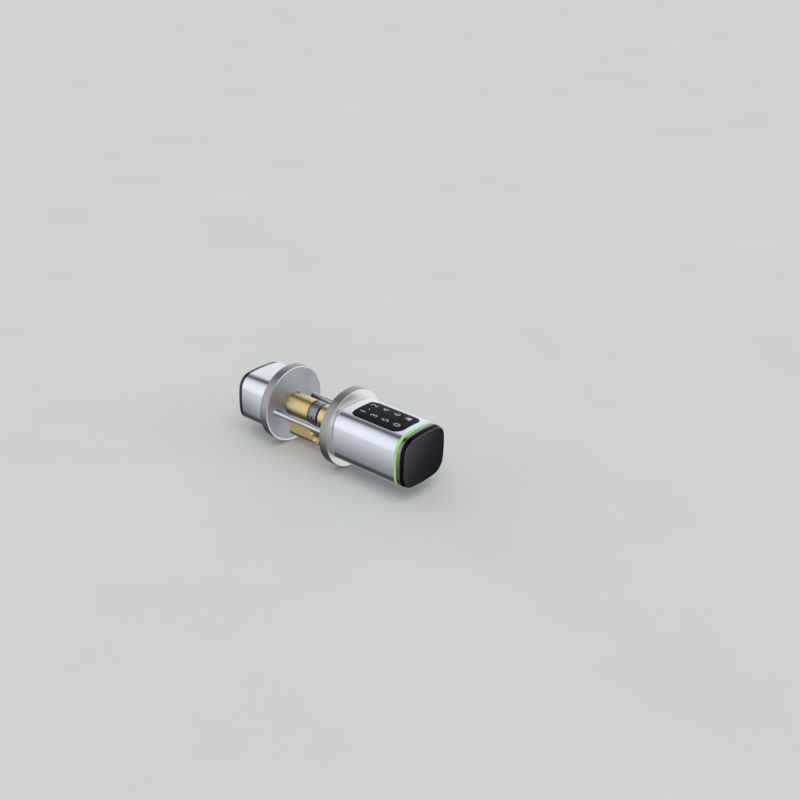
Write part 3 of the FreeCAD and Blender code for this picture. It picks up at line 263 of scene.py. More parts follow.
def rounded_profile(corners):
    """A closed outline from corners (a, b, radius), each corner turned into an arc of that radius."""
    outline = []
    count = len(corners)
    for i, (a, b, radius) in enumerate(corners):
        here = Vector((a, b))
        before = (Vector(corners[i - 1][:2]) - here).normalized()
        after = (Vector(corners[(i + 1) % count][:2]) - here).normalized()
        if radius == 0:
            outline.append((a, b))
            continue
        half = math.acos(max(-1, min(1, before.dot(after)))) / 2
        start = here + before * radius / math.tan(half)
        centre = here + (before + after).normalized() * radius / math.sin(half)
        turn = math.pi - 2 * half
        side = 1 if before.cross(after) < 0 else -1
        steps = max(3, round(turn / math.radians(15)))
        for k in range(steps + 1):
            spin = Matrix.Rotation(side * turn * k / steps, 2)
            outline.append(tuple(centre + spin @ (start - centre)))
    return outline


def rounded_open(corners):
    """As rounded_profile, for an outline whose two ends lie on the piece's flat faces."""
    first, last = corners[0], corners[-1]
    deep = 2 * MM
    outline = rounded_profile([(first[0], first[1] + deep, 0), *corners, (last[0], last[1] + deep, 0)])
    return outline[1:-1]


def knob_tube(name, corners, sharp=35):
    """A hollow piece with the knob's section, from a closed outline of (y, inset, radius) corners."""
    profile = rounded_profile(corners)
    rings = numbered_rings(len(profile), len(RAYS))
    return mesh_object(name, section_points(profile), bridges([*rings, rings[0]]), sharp)


def knob_slab(name, corners, sharp=35):
    """A solid piece with the knob's section, from an open outline of (y, inset, radius) corners."""
    profile = rounded_open(corners)
    rings = numbered_rings(len(profile), len(RAYS))
    faces = bridges(rings)
    faces.append(tuple(reversed(rings[0])))
    faces.append(tuple(rings[-1]))
    return mesh_object(name, section_points(profile), faces, sharp)


def turned_ring(name, corners):
    """A round hollow piece about the knob's axis, from a closed outline of (y, radius, corner radius)."""
    profile = rounded_profile(corners)
    around = 192
    points = []
    for y, radius in profile:
        for angle in spread(0, 2 * math.pi, around)[:-1]:
            points.append((radius * math.cos(angle), y, radius * math.sin(angle)))
    rings = numbered_rings(len(profile), around)
    return mesh_object(name, points, bridges([*rings, rings[0]]), 30)


# ---------------------------------------------------------------- housing and keypad


class Window:
    """A CAD node's outline, seen from above: a rounded rectangle."""

    def __init__(self, node, corner):
        low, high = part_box(node)
        self.half_x = (high.x - low.x) / 2
        self.half_y = (high.y - low.y) / 2
        self.centre_y = (high.y + low.y) / 2
        self.corner = corner
        self.inner_x = self.half_x - corner
        self.inner_y = self.half_y - corner

    def nearest(self, x, y, grow):
        """The point of the outline, grown by some amount, that is nearest to a point outside it."""
        y -= self.centre_y
        past_x, past_y = abs(x) - self.inner_x, abs(y) - self.inner_y
        if past_x > 0 and past_y > 0:
            length = math.hypot(past_x, past_y)
            reach = self.corner + grow
            found_x = self.inner_x + reach * past_x / length
            found_y = self.inner_y + reach * past_y / length
        elif past_x > 0:
            found_x, found_y = self.half_x + grow, abs(y)
        else:
            found_x, found_y = abs(x), self.half_y + grow
        return math.copysign(found_x, x), math.copysign(found_y, y) + self.centre_y

    def right_side(self, arc_steps, side_steps):
        """Points (x, y, normal x, normal y) up the right side, round both corners."""
        lower = [(-self.inner_y, angle) for angle in spread(-math.pi / 2, 0, arc_steps)]
        middle = [(y, 0) for y in spread(-self.inner_y, self.inner_y, side_steps)[1:-1]]
        upper = [(self.inner_y, angle) for angle in spread(0, math.pi / 2, arc_steps)]
        found = []
        for y, angle in lower + middle + upper:
            normal_x, normal_y = math.cos(angle), math.sin(angle)
            edge_x = self.inner_x + self.corner * normal_x
            edge_y = self.centre_y + y + self.corner * normal_y
            found.append((edge_x, edge_y, normal_x, normal_y))
        return found


PANEL = Window("keypad_panel", PANEL_CORNER)


def housing_rows():
    """Rows (y, inset) of the outer skin from back to front, and the first and last row round the window."""
    back, front = levels("knob_housing")
    far_y = PANEL.centre_y + PANEL.half_y + WINDOW_MARGIN
    near_y = PANEL.centre_y - PANEL.half_y - WINDOW_MARGIN
    round_steps, back_steps, window_steps, front_steps = 6, 4, 52, 3
    turns = [(1 - math.cos(turn), 1 - math.sin(turn)) for turn in spread(0, math.pi / 2, round_steps)]
    rows = [(back - ROUND_BACK * along, ROUND_BACK * inward) for along, inward in turns]
    rows += [(y, 0) for y in spread(back - 2 * ROUND_BACK, far_y, back_steps)]
    first_row = len(rows) - 1
    rows += [(y, 0) for y in spread(far_y, near_y, window_steps)[1:]]
    last_row = len(rows) - 1
    rows += [(y, 0) for y in spread(near_y, front + ROUND_FRONT, front_steps)[1:]]
    rows += [(front + ROUND_FRONT * along, ROUND_FRONT * inward) for inward, along in turns[1:]]
    return rows, first_row, last_row


def window_columns():
    """The first and last point of the section's top that stand round the window."""
    reach = PANEL.half_x + WINDOW_MARGIN
    over = []
    for number, ray in enumerate(RAYS):
        x, z = section_point(ray, 0)
        if z > 0 and abs(x) < reach:
            over.append(number)
    return over[0], over[-1]


def housing():
    """The knob's shell, with the keypad's window and its chamfer worked into the mesh."""
    outer, first_row, last_row = housing_rows()
    first, last = window_columns()
    inner = [(y, WALL) for y, _ in outer]
    points = section_points(outer + inner)
    rings = numbered_rings(2 * len(outer), len(RAYS))
    outside, inside = rings[: len(outer)], rings[len(outer) :]
    faces = []
    for skin in (outside, inside):
        for j, (near, far) in enumerate(zip(skin, skin[1:])):
            quads = bridge(near, far)
            if first_row <= j < last_row:
                quads = quads[:first] + quads[last:]
            faces += quads
    faces += bridge(outside[0], inside[0])
    faces += bridge(outside[-1], inside[-1])

    border = [(j, first) for j in range(first_row, last_row)]
    border += [(last_row, i) for i in range(first, last)]
    border += [(j, last) for j in range(last_row, first_row, -1)]
    border += [(first_row, i) for i in range(last, first, -1)]
    loops = [[outside[j][i] for j, i in border]]
    edges = ((WINDOW_FIT + WINDOW_EDGE, 0), (WINDOW_FIT, WINDOW_EDGE), (WINDOW_FIT, WALL))
    for grow, depth in edges:
        start = len(points)
        for number in loops[0]:
            x, y, _ = points[number]
            edge_x, edge_y = PANEL.nearest(x, y, grow)
            points.append((edge_x, edge_y, crown(edge_x, depth)))
        loops.append(list(range(start, len(points))))
    loops.append([inside[j][i] for j, i in border])
    piece = mesh_object("housing_shell", points, faces + bridges(loops), 25)
    shade_outer_skin(piece.data)
    return piece


def shade_outer_skin(mesh):
    """Takes the shading of the long outer faces from the section itself, so the window leaves no creases."""
    close = 0.01 * MM
    normals = []
    for face in mesh.polygons:
        corners = [mesh.vertices[i].co for i in face.vertices]
        outer = all(abs(inset_at(corner)) < close for corner in corners)
        normals += [section_normal(corner) if outer else (0, 0, 0) for corner in corners]
    mesh.normals_split_custom_set(normals)


def around_panel(right, columns, grow):
    """The window's outline, grown: along the front end, up the right side, and back down the left."""
    x, y = right[0][:2]
    spots = [(x * (2 * k / columns - 1), y - grow) for k in range(1, columns)]
    spots += [(x + grow * nx, y + grow * ny) for x, y, nx, ny in right]
    x, y = right[-1][:2]
    spots += [(x * (1 - 2 * k / columns), y + grow) for k in range(1, columns)]
    spots += [(-x - grow * nx, y + grow * ny) for x, y, nx, ny in reversed(right)]
    return spots


def panel():
    """The smoked window: its top follows the knob's section and its rim is rounded."""
    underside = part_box("keypad_panel")[0].z
    corner_steps, side_steps, rim_steps, columns = 14, 36, 4, 24
    right = PANEL.right_side(corner_steps, side_steps)
    rows, width = len(right), columns + 1
    points, faces = [], []
    for x, y, nx, ny in right:
        edge_x, edge_y = x - PANEL_RIM * nx, y - PANEL_RIM * ny
        for across in spread(-edge_x, edge_x, columns):
            points.append((across, edge_y, crown(across, PANEL_RECESS)))
    for j in range(rows - 1):
        for k in range(columns):
            corner = j * width + k
            faces.append((corner, corner + 1, corner + width + 1, corner + width))
    loop = list(range(1, columns)) + [j * width + columns for j in range(rows)]
    loop += [(rows - 1) * width + k for k in range(columns - 1, 0, -1)]
    loop += [j * width for j in range(rows - 1, -1, -1)]
    walls = []
    for turn in spread(0, math.pi / 2, rim_steps)[1:]:
        sunk = PANEL_RECESS + PANEL_RIM * (1 - math.cos(turn))
        spots = around_panel(right, columns, PANEL_RIM * (math.sin(turn) - 1))
        walls.append([(x, y, crown(x, sunk)) for x, y in spots])
    walls.append([(x, y, underside) for x, y in around_panel(right, columns, 0)])
    loops = [loop]
    for wall in walls:
        loops.append(list(range(len(points), len(points) + len(wall))))
        points += wall
    faces += bridges(loops)
    faces.append(tuple(loops[-1]))
    return mesh_object("panel_window", points, faces, 40)


def lay_on_panel(name, outline_mesh, x, y):
    """Wraps a flat glyph onto the panel's crown and gives it a little thickness."""
    body = bmesh.new()
    body.from_mesh(outline_mesh)
    bmesh.ops.triangulate(body, faces=body.faces)
    bmesh.ops.subdivide_edges(body, edges=body.edges, cuts=1, use_grid_fill=True)
    flat = list(body.faces)
    grown = bmesh.ops.extrude_face_region(body, geom=flat)
    raised = [v for v in grown["geom"] if isinstance(v, bmesh.types.BMVert)]
    for vert in raised:
        vert.co.z = 1
    for vert in body.verts:
        height = MARK_PROUD if vert.co.z > 0.5 else -MARK_PROUD
        vert.co.x += x
        vert.co.y += y
        vert.co.z = crown(vert.co.x, PANEL_RECESS) + height
    bmesh.ops.recalc_face_normals(body, faces=body.faces)
    mesh = bpy.data.meshes.new(name)
    body.to_mesh(mesh)
    body.free()
    return link(name, mesh)


def digit_mesh(text):
    """A digit of the built-in font as a flat mesh, centred on the origin and thinned a little."""
    curve = bpy.data.curves.new("digit_" + text, "FONT")
    curve.body = text
    curve.align_x = "CENTER"
    curve.align_y = "CENTER"
    curve.size = DIGIT_HEIGHT / FONT_CAPITAL
    curve.offset = -DIGIT_THINNING * DIGIT_HEIGHT
    curve.resolution_u = 8
    holder = link("digit_holder", curve)
    bpy.context.view_layer.update()
    shaped = holder.evaluated_get(bpy.context.evaluated_depsgraph_get())
    mesh = bpy.data.meshes.new_from_object(shaped)
    bpy.data.objects.remove(holder)
    xs = [v.co.x for v in mesh.vertices]
    ys = [v.co.y for v in mesh.vertices]
    middle = Vector(((min(xs) + max(xs)) / 2, (min(ys) + max(ys)) / 2, 0))
    mesh.transform(Matrix.Translation(-middle))
    return mesh


def polygon_mesh(outline):
    mesh = bpy.data.meshes.new("outline")
    mesh.from_pydata([(x, y, 0) for x, y in outline], [], [tuple(range(len(outline)))])
    return mesh


def arc_points(centre_y, radius, angles):
    return [(radius * math.cos(angle), centre_y + radius * math.sin(angle)) for angle in angles]


def dot_mesh():
    return polygon_mesh(arc_points(0, DOT_RADIUS, spread(0, 2 * math.pi, 32)[:-1]))


def padlock_meshes(size):
    """The last key's sign: a small closed padlock, as a filled body and a shackle."""
    body_half, body_low, body_high = 0.42 * size, -0.5 * size, 0.1 * size
    corner = 0.12 * size
    outline = []
    for sx, sy in ((1, 1), (-1, 1), (-1, -1), (1, -1)):
        centre_x = sx * (body_half - corner)
        centre_y = body_high - corner if sy > 0 else body_low + corner
        start = math.atan2(sy, sx) - math.pi / 4
        for x, y in arc_points(centre_y, corner, spread(start, start + math.pi / 2, 5)):
            outline.append((centre_x + x, y))
    outer, inner, leg = 0.31 * size, 0.2 * size, 0.12 * size
    arc = spread(0, math.pi, 14)
    shackle = [(outer, body_high)]
    shackle += arc_points(body_high + leg, outer, arc)
    shackle += [(-outer, body_high), (-inner, body_high)]
    shackle += arc_points(body_high + leg, inner, reversed(arc))
    shackle += [(inner, body_high)]
    return polygon_mesh(outline), polygon_mesh(shackle)


def key_spots():
    """Where the keys are: two columns of four, the first row nearest the door."""
    back = levels("keypad_panel")[0]
    spots = []
    for row in range(4):
        for side in (-1, 1):
            spots.append((KEY_SHIFT + side * KEY_HALF_GAP, back - KEY_FIRST - row * KEY_PITCH))
    return spots


def keypad_marks(material):
    """The lit signs: seven digits, a padlock and the small dot between the first two digits."""
    spots = key_spots()
    marks = []
    for text, (x, y) in zip("1234560", spots):
        marks.append(lay_on_panel("mark_" + text, digit_mesh(text), x, y))
    x, y = spots[-1]
    for part, mesh in zip(("body", "shackle"), padlock_meshes(PADLOCK_SIZE)):
        marks.append(lay_on_panel("mark_padlock_" + part, mesh, x, y))
    first_y = spots[0][1]
    marks.append(lay_on_panel("mark_dot", dot_mesh(), KEY_SHIFT - DOT_ASIDE, first_y - DOT_BELOW))
    for mark in marks:
        finish_piece(mark, material, "outer_knob")


# ---------------------------------------------------------------- front end


def ring_piece():
    """The lit diffuser: its band shows flush with the knob, and its rebate sits inside the housing."""
    back, front = levels("light_ring")
    seat = levels("knob_housing")[1]
    shy = 0.1 * MM
    deep = 3.1 * MM
    soft_edge, hidden_edge = 0.12 * MM, 0.3 * MM
    corners = [
        (seat, shy, soft_edge),
        (front, shy, soft_edge),
        (front, deep, 0),
        (back, deep, hidden_edge),
        (back, INSIDE, hidden_edge),
        (seat, INSIDE, 0),
    ]
    return knob_tube("diffuser_ring", corners)


def cap_piece():
    """The gloss hood: a straight band, a long rounded shoulder and a lip round the plate's seat."""
    back, front = levels("end_cap")
    shoulder = back - 2.75 * MM
    shoulder_inset, shoulder_round = 0.85 * MM, 2.6 * MM
    lip = 1 * MM
    seat = front + 1.6 * MM
    seat_back = seat + 1 * MM
    opening, wall = 4.2 * MM, 1.6 * MM
    corners = [
        (back, 0, 0.15 * MM),
        (shoulder, 0, shoulder_round),
        (front, shoulder_inset, 0.12 * MM),
        (front, lip, 0.06 * MM),
        (seat, lip, 0),
        (seat, opening, 0),
        (seat_back, opening, 0),
        (seat_back, wall, 0),
        (back, wall, 0),
    ]
    return knob_tube("hood", corners)


def plate_piece():
    """The satin plate in the hood's front, inside its polished edge."""
    back, front = levels("end_plate")
    inset = PLATE_INSET + PLATE_EDGE
    return knob_slab("front_plate", [(back, inset, 0), (front, inset, 0)], 30)


def plate_edge():
    """The plate's polished chamfer, as a thin frame round it."""
    back, front = levels("end_plate")
    inner = PLATE_INSET + PLATE_EDGE
    corners = [
        (back, PLATE_INSET, 0),
        (front + PLATE_EDGE, PLATE_INSET, 0.05 * MM),
        (front, inner, 0.05 * MM),
        (back, inner, 0),
    ]
    return knob_tube("plate_edge", corners, 30)


def rose_piece(side):
    """A round cup whose open back lies on the door."""
    high, low = levels(f"{side}_rose_cover")
    back, front, out = (high, low, -1) if side == "outer" else (low, high, 1)
    floor = front - out * ROSE_WALL
    inner = ROSE_RADIUS - ROSE_WALL
    corners = [
        (back, ROSE_RADIUS, 0.15 * MM),
        (front, ROSE_RADIUS, 0.75 * MM),
        (front, ROSE_HOLE, 0.25 * MM),
        (floor, ROSE_HOLE, 0.1 * MM),
        (floor, inner, 0.1 * MM),
        (back, inner, 0.1 * MM),
    ]
    return turned_ring(f"{side}_rose", corners)


# ---------------------------------------------------------------- inner knob


def turn_shell():
    """The inner knob's shell, open towards its cap, with its thick floor at the rose."""
    front, back = levels("inner_knob")
    floor = back + 6 * MM
    hub = WALL + 4 * MM
    corners = [
        (back, 0, ROUND_BACK),
        (front, 0, ROUND_FRONT),
        (front, WALL, 0.1 * MM),
        (floor, WALL, 0.8 * MM),
        (floor, hub, 0),
        (back, hub, 0),
    ]
    return knob_tube("turn_shell", corners)


def turn_cap():
    """The inner knob's plastic cap: a low slab with a soft edge."""
    front = levels("inner_end_cap")[0]
    back = levels("inner_knob")[0]
    return knob_slab("turn_cap", [(back, 0, 0.15 * MM), (front, 0, 2.2 * MM)])


# ---------------------------------------------------------------- materials


def is_color(socket):
    return socket.type == "RGBA"


def set_stops(ramp_node, stops):
    """Gives a colour ramp its (position, (red, green, blue)) stops."""
    elements = ramp_node.color_ramp.elements
    while len(elements) < len(stops):
        elements.new(0.5)
    for element, (position, color) in zip(elements, stops):
        element.position = position
        element.color = (*color, 1)


class Shader:
    """A node material with a Principled surface and short ways to feed it."""

    def __init__(self, name, **constants):
        self.material = bpy.data.materials.new(name)
        self.material.use_nodes = True
        self.nodes = self.material.node_tree.nodes
        self.links = self.material.node_tree.links
        self.surface = self.nodes["Principled BSDF"]
        for socket, value in constants.items():
            self.surface.inputs[socket.replace("_", " ")].default_value = value
        self.place = self.nodes.new("ShaderNodeTexCoord").outputs["Object"]

    def stretched(self, scale):
        mapping = self.nodes.new("ShaderNodeMapping")
        mapping.inputs["Scale"].default_value = scale
        self.links.new(self.place, mapping.inputs["Vector"])
        return mapping.outputs["Vector"]

    def noise(self, scale, detail=3, vector=None):
        node = self.nodes.new("ShaderNodeTexNoise")
        node.inputs["Scale"].default_value = scale
        node.inputs["Detail"].default_value = detail
        self.links.new(vector or self.place, node.inputs["Vector"])
        return node.outputs["Fac"]

    def between(self, factor, low, high):
        """From low to high as a factor goes from 0 to 1."""
        node = self.nodes.new("ShaderNodeMapRange")
        node.inputs["To Min"].default_value = low
        node.inputs["To Max"].default_value = high
        self.links.new(factor, node.inputs["Value"])
        return node.outputs["Result"]

    def rise(self, value, first, last):
        """From 0 to 1 as a value goes from first to last."""
        node = self.nodes.new("ShaderNodeMapRange")
        node.inputs["From Min"].default_value = first
        node.inputs["From Max"].default_value = last
        self.links.new(value, node.inputs["Value"])
        return node.outputs["Result"]

    def vector_math(self, operation, vector, other=(0, 0, 0)):
        node = self.nodes.new("ShaderNodeVectorMath")
        node.operation = operation
        node.inputs[1].default_value = other
        self.links.new(vector, node.inputs[0])
        return node.outputs

    def along(self, direction, first, last):
        """0 to 1 along a direction through the object, between two distances."""
        reached = self.vector_math("DOT_PRODUCT", self.place, direction)["Value"]
        return self.rise(reached, first, last)

    def outward(self, first, last):
        """0 to 1 with the distance from the knob's axis, between two radii."""
        flat = self.vector_math("MULTIPLY", self.place, (1, 0, 1))["Vector"]
        return self.rise(self.vector_math("LENGTH", flat)["Value"], first, last)

    def ramp(self, factor, *stops):
        node = self.nodes.new("ShaderNodeValToRGB")
        set_stops(node, stops)
        self.links.new(factor, node.inputs["Fac"])
        return node.outputs["Color"]

    def blend(self, factor, first, second):
        """From one colour to another. Each is a fixed (red, green, blue) or another node's output."""
        node = self.nodes.new("ShaderNodeMix")
        node.data_type = "RGBA"
        self.links.new(factor, node.inputs["Factor"])
        for socket, color in zip(filter(is_color, node.inputs), (first, second)):
            if isinstance(color, tuple):
                socket.default_value = (*color, 1)
            else:
                self.links.new(color, socket)
        return next(filter(is_color, node.outputs))

    def feed(self, socket, output):
        self.links.new(output, self.surface.inputs[socket])

    def bump(self, height, strength, distance):
        node = self.nodes.new("ShaderNodeBump")
        node.inputs["Strength"].default_value = strength
        node.inputs["Distance"].default_value = distance
        self.links.new(height, node.inputs["Height"])
        self.feed("Normal", node.outputs["Normal"])


def metal(name, dark, light, roughness, grain=9000, bump=0.05, stretch=None):
    """A metal with fine grain, slow cloudy variation and a roughness that follows it."""
    shader = Shader(name, Metallic=1.0)
    vector = shader.stretched(stretch) if stretch else shader.place
    clouds = shader.noise(60, 4)
    fine = shader.noise(grain, 3, vector)
    shader.feed("Base Color", shader.ramp(clouds, (0.3, dark), (0.7, light)))
    shader.feed("Roughness", shader.between(fine, roughness - 0.05, roughness + 0.06))
    shader.bump(fine, bump, 0.03 * MM)
    return shader.material


def plastic(name, dark, light, roughness, coat=0.0, grain=5000, bump=0.05, specular=0.5):
    """A moulded plastic: near-even colour, faint mottling and a fine moulded grain."""
    shader = Shader(name, Specular_IOR_Level=specular, Coat_Weight=coat, Coat_Roughness=0.04)
    clouds = shader.noise(90, 3)
    fine = shader.noise(grain, 2)
    shader.feed("Base Color", shader.ramp(clouds, (0.3, dark), (0.7, light)))
    shader.feed("Roughness", shader.between(fine, roughness - 0.02, roughness + 0.04))
    shader.bump(fine, bump, 0.02 * MM)
    return shader.material


def lit_diffuser():
    """Milky plastic lit green from inside, in soft patches a little brighter than the rest."""
    shader = Shader("lit_green", Roughness=0.35, Specular_IOR_Level=0.2, Emission_Strength=0.26)
    glow = shader.noise(220, 2)
    paint = ((0.25, (0.19, 0.52, 0.075)), (0.75, (0.23, 0.58, 0.095)))
    light = ((0.25, (0.3, 0.75, 0.1)), (0.75, (0.38, 0.85, 0.14)))
    shader.feed("Base Color", shader.ramp(glow, *paint))
    shader.feed("Emission Color", shader.ramp(glow, *light))
    return shader.material


def lit_mark():
    """Printed digits that let the white lamps behind them through."""
    shader = Shader("lit_white", Roughness=0.4, Specular_IOR_Level=0.1, Emission_Strength=0.12)
    glow = shader.noise(420, 2)
    paint = ((0.3, (0.3, 0.31, 0.33)), (0.7, (0.5, 0.52, 0.55)))
    light = ((0.3, (0.5, 0.54, 0.6)), (0.7, (0.9, 0.93, 1.0)))
    shader.feed("Base Color", shader.ramp(glow, *paint))
    shader.feed("Emission Color", shader.ramp(glow, *light))
    return shader.material


def hood_black():
    """The gloss hood: piano black, with a graphite band behind its shoulder."""
    shader = Shader("gloss_hood", Specular_IOR_Level=0.08)
    band_front = levels("end_cap")[0] - 3.2 * MM
    band_edge = 1 * MM
    black = (0.0015, 0.0015, 0.002)
    behind = shader.along((0, 1, 0), band_front, band_front + band_edge)
    clouds = shader.noise(90, 3)
    band = shader.ramp(clouds, (0.3, (0.22, 0.215, 0.255)), (0.7, (0.26, 0.255, 0.3)))
    shader.feed("Base Color", shader.blend(behind, black, band))
    shader.feed("Metallic", behind)
    shader.feed("Roughness", shader.between(shader.noise(4000, 2), 0.12, 0.18))
    return shader.material


def rose_nickel():
    """Satin nickel: a pale finely grained face, and painted shade that darkens the rim's colour."""
    shader = Shader("rose_nickel", Metallic=1.0)
    # Painted shade: the colour turns dark near the rose's outer edge, in place of the shade its rim would
    # mirror.
    rim = shader.outward(ROSE_RADIUS - 0.5 * MM, ROSE_RADIUS - 0.1 * MM)
    clouds = shader.noise(60, 4)
    pale = shader.ramp(clouds, (0.3, (0.84, 0.79, 0.72)), (0.7, (0.89, 0.84, 0.77)))
    dark = shader.ramp(clouds, (0.3, (0.3, 0.29, 0.27)), (0.7, (0.36, 0.35, 0.325)))
    fine = shader.noise(5000, 3)
    shader.feed("Base Color", shader.blend(rim, pale, dark))
    shader.feed("Roughness", shader.between(fine, 0.34, 0.46))
    shader.bump(fine, 0.12, 0.03 * MM)
    return shader.material


def plate_black():
    """The satin plate over the card reader, with a painted sheen: its colour is a little paler towards its
    upper left corner.
    """
    shader = Shader("satin_plate", Specular_IOR_Level=0.03)
    reach = 24 * MM
    # Painted sheen: the base colour pales towards the upper left corner, as if light fell there.
    corner = shader.along((-0.7, 0, 0.7), -reach, reach)
    fine = shader.noise(6000, 3)
    stops = ((0.1, (0.002, 0.002, 0.003)), (0.5, (0.012, 0.013, 0.016)), (0.9, (0.056, 0.058, 0.066)))
    shader.feed("Base Color", shader.ramp(corner, *stops))
    shader.feed("Roughness", shader.between(fine, 0.32, 0.44))
    shader.bump(fine, 0.1, 0.02 * MM)
    return shader.material


def circuit_board():
    """Green solder mask with fine tracks that show through it."""
    shader = Shader("solder_mask", Coat_Weight=0.4, Coat_Roughness=0.15)
    tracks = shader.nodes.new("ShaderNodeTexVoronoi")
    tracks.feature = "DISTANCE_TO_EDGE"
    tracks.inputs["Scale"].default_value = 420
    shader.links.new(shader.place, tracks.inputs["Vector"])
    stops = ((0.04, (0.03, 0.2, 0.07)), (0.09, (0.01, 0.1, 0.035)))
    shader.feed("Base Color", shader.ramp(tracks.outputs["Distance"], *stops))
    shader.feed("Roughness", shader.between(shader.noise(3000), 0.35, 0.5))
    return shader.material


def pale_paint():
    shader = Shader("pale_floor", Roughness=0.8, Specular_IOR_Level=0.0)
    stops = ((0.3, (0.6, 0.605, 0.6)), (0.7, (0.62, 0.625, 0.62)))
    shader.feed("Base Color", shader.ramp(shader.noise(8), *stops))
    return shader.material


def make_materials():
    """One material for each of the record's slots."""
    return {
        "satin_aluminium": metal(
            "blasted_aluminium", (0.70, 0.72, 0.75), (0.73, 0.75, 0.78), 0.2, grain=7000, bump=0.06
        ),
        "satin_nickel": rose_nickel(),
        "gloss_black": plastic(
            "gloss_black", (0.003, 0.003, 0.004), (0.005, 0.005, 0.006), 0.12, grain=4000, bump=0.02
        ),
        "keypad_glass": plastic(
            "smoked_window", (0.003, 0.0035, 0.006), (0.005, 0.006, 0.009), 0.14,
            grain=3000, bump=0.01, specular=0.03,
        ),
        "plate_black": plate_black(),
        "green_diffuser": lit_diffuser(),
        "black_plastic": plastic(
            "moulded_black", (0.02, 0.02, 0.02), (0.03, 0.03, 0.03), 0.5, grain=2500, bump=0.3
        ),
        "zinc_base": metal(
            "cast_zinc", (0.38, 0.38, 0.39), (0.47, 0.47, 0.48), 0.5, grain=2500, bump=0.5
        ),
        "brass": metal(
            "machined_brass", (0.62, 0.47, 0.2), (0.7, 0.54, 0.25), 0.3,
            grain=4000, bump=0.2, stretch=(1, 12, 1),
        ),
        "steel": metal(
            "zinc_steel", (0.5, 0.5, 0.52), (0.6, 0.6, 0.62), 0.28,
            grain=4000, bump=0.2, stretch=(1, 10, 1),
        ),
        "hard_steel": metal(
            "oiled_steel", (0.2, 0.2, 0.215), (0.28, 0.28, 0.3), 0.38, grain=4000, bump=0.2
        ),
        "circuit_board": circuit_board(),
        "chip_black": plastic(
            "chip_black", (0.015, 0.015, 0.015), (0.022, 0.022, 0.022), 0.5, grain=4000, bump=0.2
        ),
        "light_chip": plastic("lamp_package", (0.75, 0.75, 0.68), (0.85, 0.85, 0.78), 0.4),
        "copper_flex": plastic("amber_film", (0.42, 0.2, 0.05), (0.5, 0.26, 0.08), 0.25, coat=0.3),
        "battery_wrap": plastic(
            "battery_wrap", (0.05, 0.055, 0.075), (0.07, 0.075, 0.1), 0.2, coat=0.4, grain=3000
        ),
        "contact_metal": metal(
            "nickel_contact", (0.66, 0.64, 0.58), (0.74, 0.72, 0.66), 0.18, grain=5000, bump=0.1
        ),
        "rubber": plastic(
            "black_rubber", (0.016, 0.016, 0.016), (0.024, 0.024, 0.024), 0.7,
            grain=3000, bump=0.3, specular=0.3,
        ),
        "nylon": plastic("nylon", (0.66, 0.65, 0.6), (0.72, 0.71, 0.66), 0.45, grain=2500, bump=0.1),
        "motor_can": metal(
            "motor_can", (0.52, 0.52, 0.54), (0.6, 0.6, 0.62), 0.25,
            grain=5000, bump=0.15, stretch=(1, 8, 1),
        ),
    }


def finish_piece(piece, material, body):
    piece.data.materials.clear()
    piece.data.materials.append(material)
    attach(piece, body)


def dress_cad_nodes(materials):
    """Gives every CAD node the procedural material of its slot, and keeps fixed nodes out of reflections."""
    fixed = frame["record"]["behaviour"]["bodies"]["root"]
    for part in frame["record"]["subparts"]:
        node = frame["nodes"][part["node"]]
        node.visible_glossy = part["node"] not in fixed
        for slot in node.material_slots:
            slot.material = materials[part["material_slot"]]


# ---------------------------------------------------------------- stage, lights and camera


def pale_floor():
    low, _ = cad_box
    half = 12
    corners = [(-half, -half), (half, -half), (half, half), (-half, half)]
    mesh = bpy.data.meshes.new("floor")
    mesh.from_pydata([(x, y, low.z) for x, y in corners], [], [(0, 1, 2, 3)])
    mesh.materials.append(pale_paint())
    floor = link("floor", mesh)
    floor.visible_glossy = False


# What the metal mirrors: brightness by angle round the knob's axis. 0 degrees is level towards -X, 90 is
# straight up and -90 straight down.
TENT = (
    (-180, 1.10), (-148, 1.08), (-134, 0.80), (-118, 0.32), (-100, 0.08), (-62, 0.06), (-52, 0.22),
    (-44, 0.34), (-37, 0.50), (-30, 0.68), (-23, 0.88), (-16, 1.05), (-5, 1.17), (18, 1.22), (38, 1.16),
    (58, 1.02), (74, 0.72), (87, 0.12), (100, 0.12), (113, 0.36), (126, 0.88), (142, 1.08), (180, 1.10),
)
TENT_TINT = (0.93, 0.97, 1.04)
SKY = (0.76, 0.775, 0.78)
BEYOND_FLOOR = (0.6, 0.62, 0.615)
SUN_STRENGTH = 0.9
SUN_ANGLE = math.radians(50)
SUN_DIRECTION = Vector((0.35, 0.3, -1))


def tent_color(nodes, links):
    """The tent's colour at a ray's angle round the knob's axis."""
    direction = nodes.new("ShaderNodeSeparateXYZ")
    links.new(nodes.new("ShaderNodeTexCoord").outputs["Generated"], direction.inputs["Vector"])
    leftward = nodes.new("ShaderNodeMath")
    leftward.operation = "MULTIPLY"
    leftward.inputs[1].default_value = -1
    links.new(direction.outputs["X"], leftward.inputs[0])
    angle = nodes.new("ShaderNodeMath")
    angle.operation = "ARCTAN2"
    links.new(direction.outputs["Z"], angle.inputs[0])
    links.new(leftward.outputs["Value"], angle.inputs[1])
    turn = nodes.new("ShaderNodeMapRange")
    turn.inputs["From Min"].default_value = -math.pi
    turn.inputs["From Max"].default_value = math.pi
    links.new(angle.outputs["Value"], turn.inputs["Value"])
    tent = nodes.new("ShaderNodeValToRGB")
    stops = []
    for degrees, brightness in TENT:
        color = [tint * brightness for tint in TENT_TINT]
        stops.append(((degrees + 180) / 360, color))
    set_stops(tent, stops)
    links.new(turn.outputs["Result"], tent.inputs["Fac"])
    return tent.outputs["Color"]


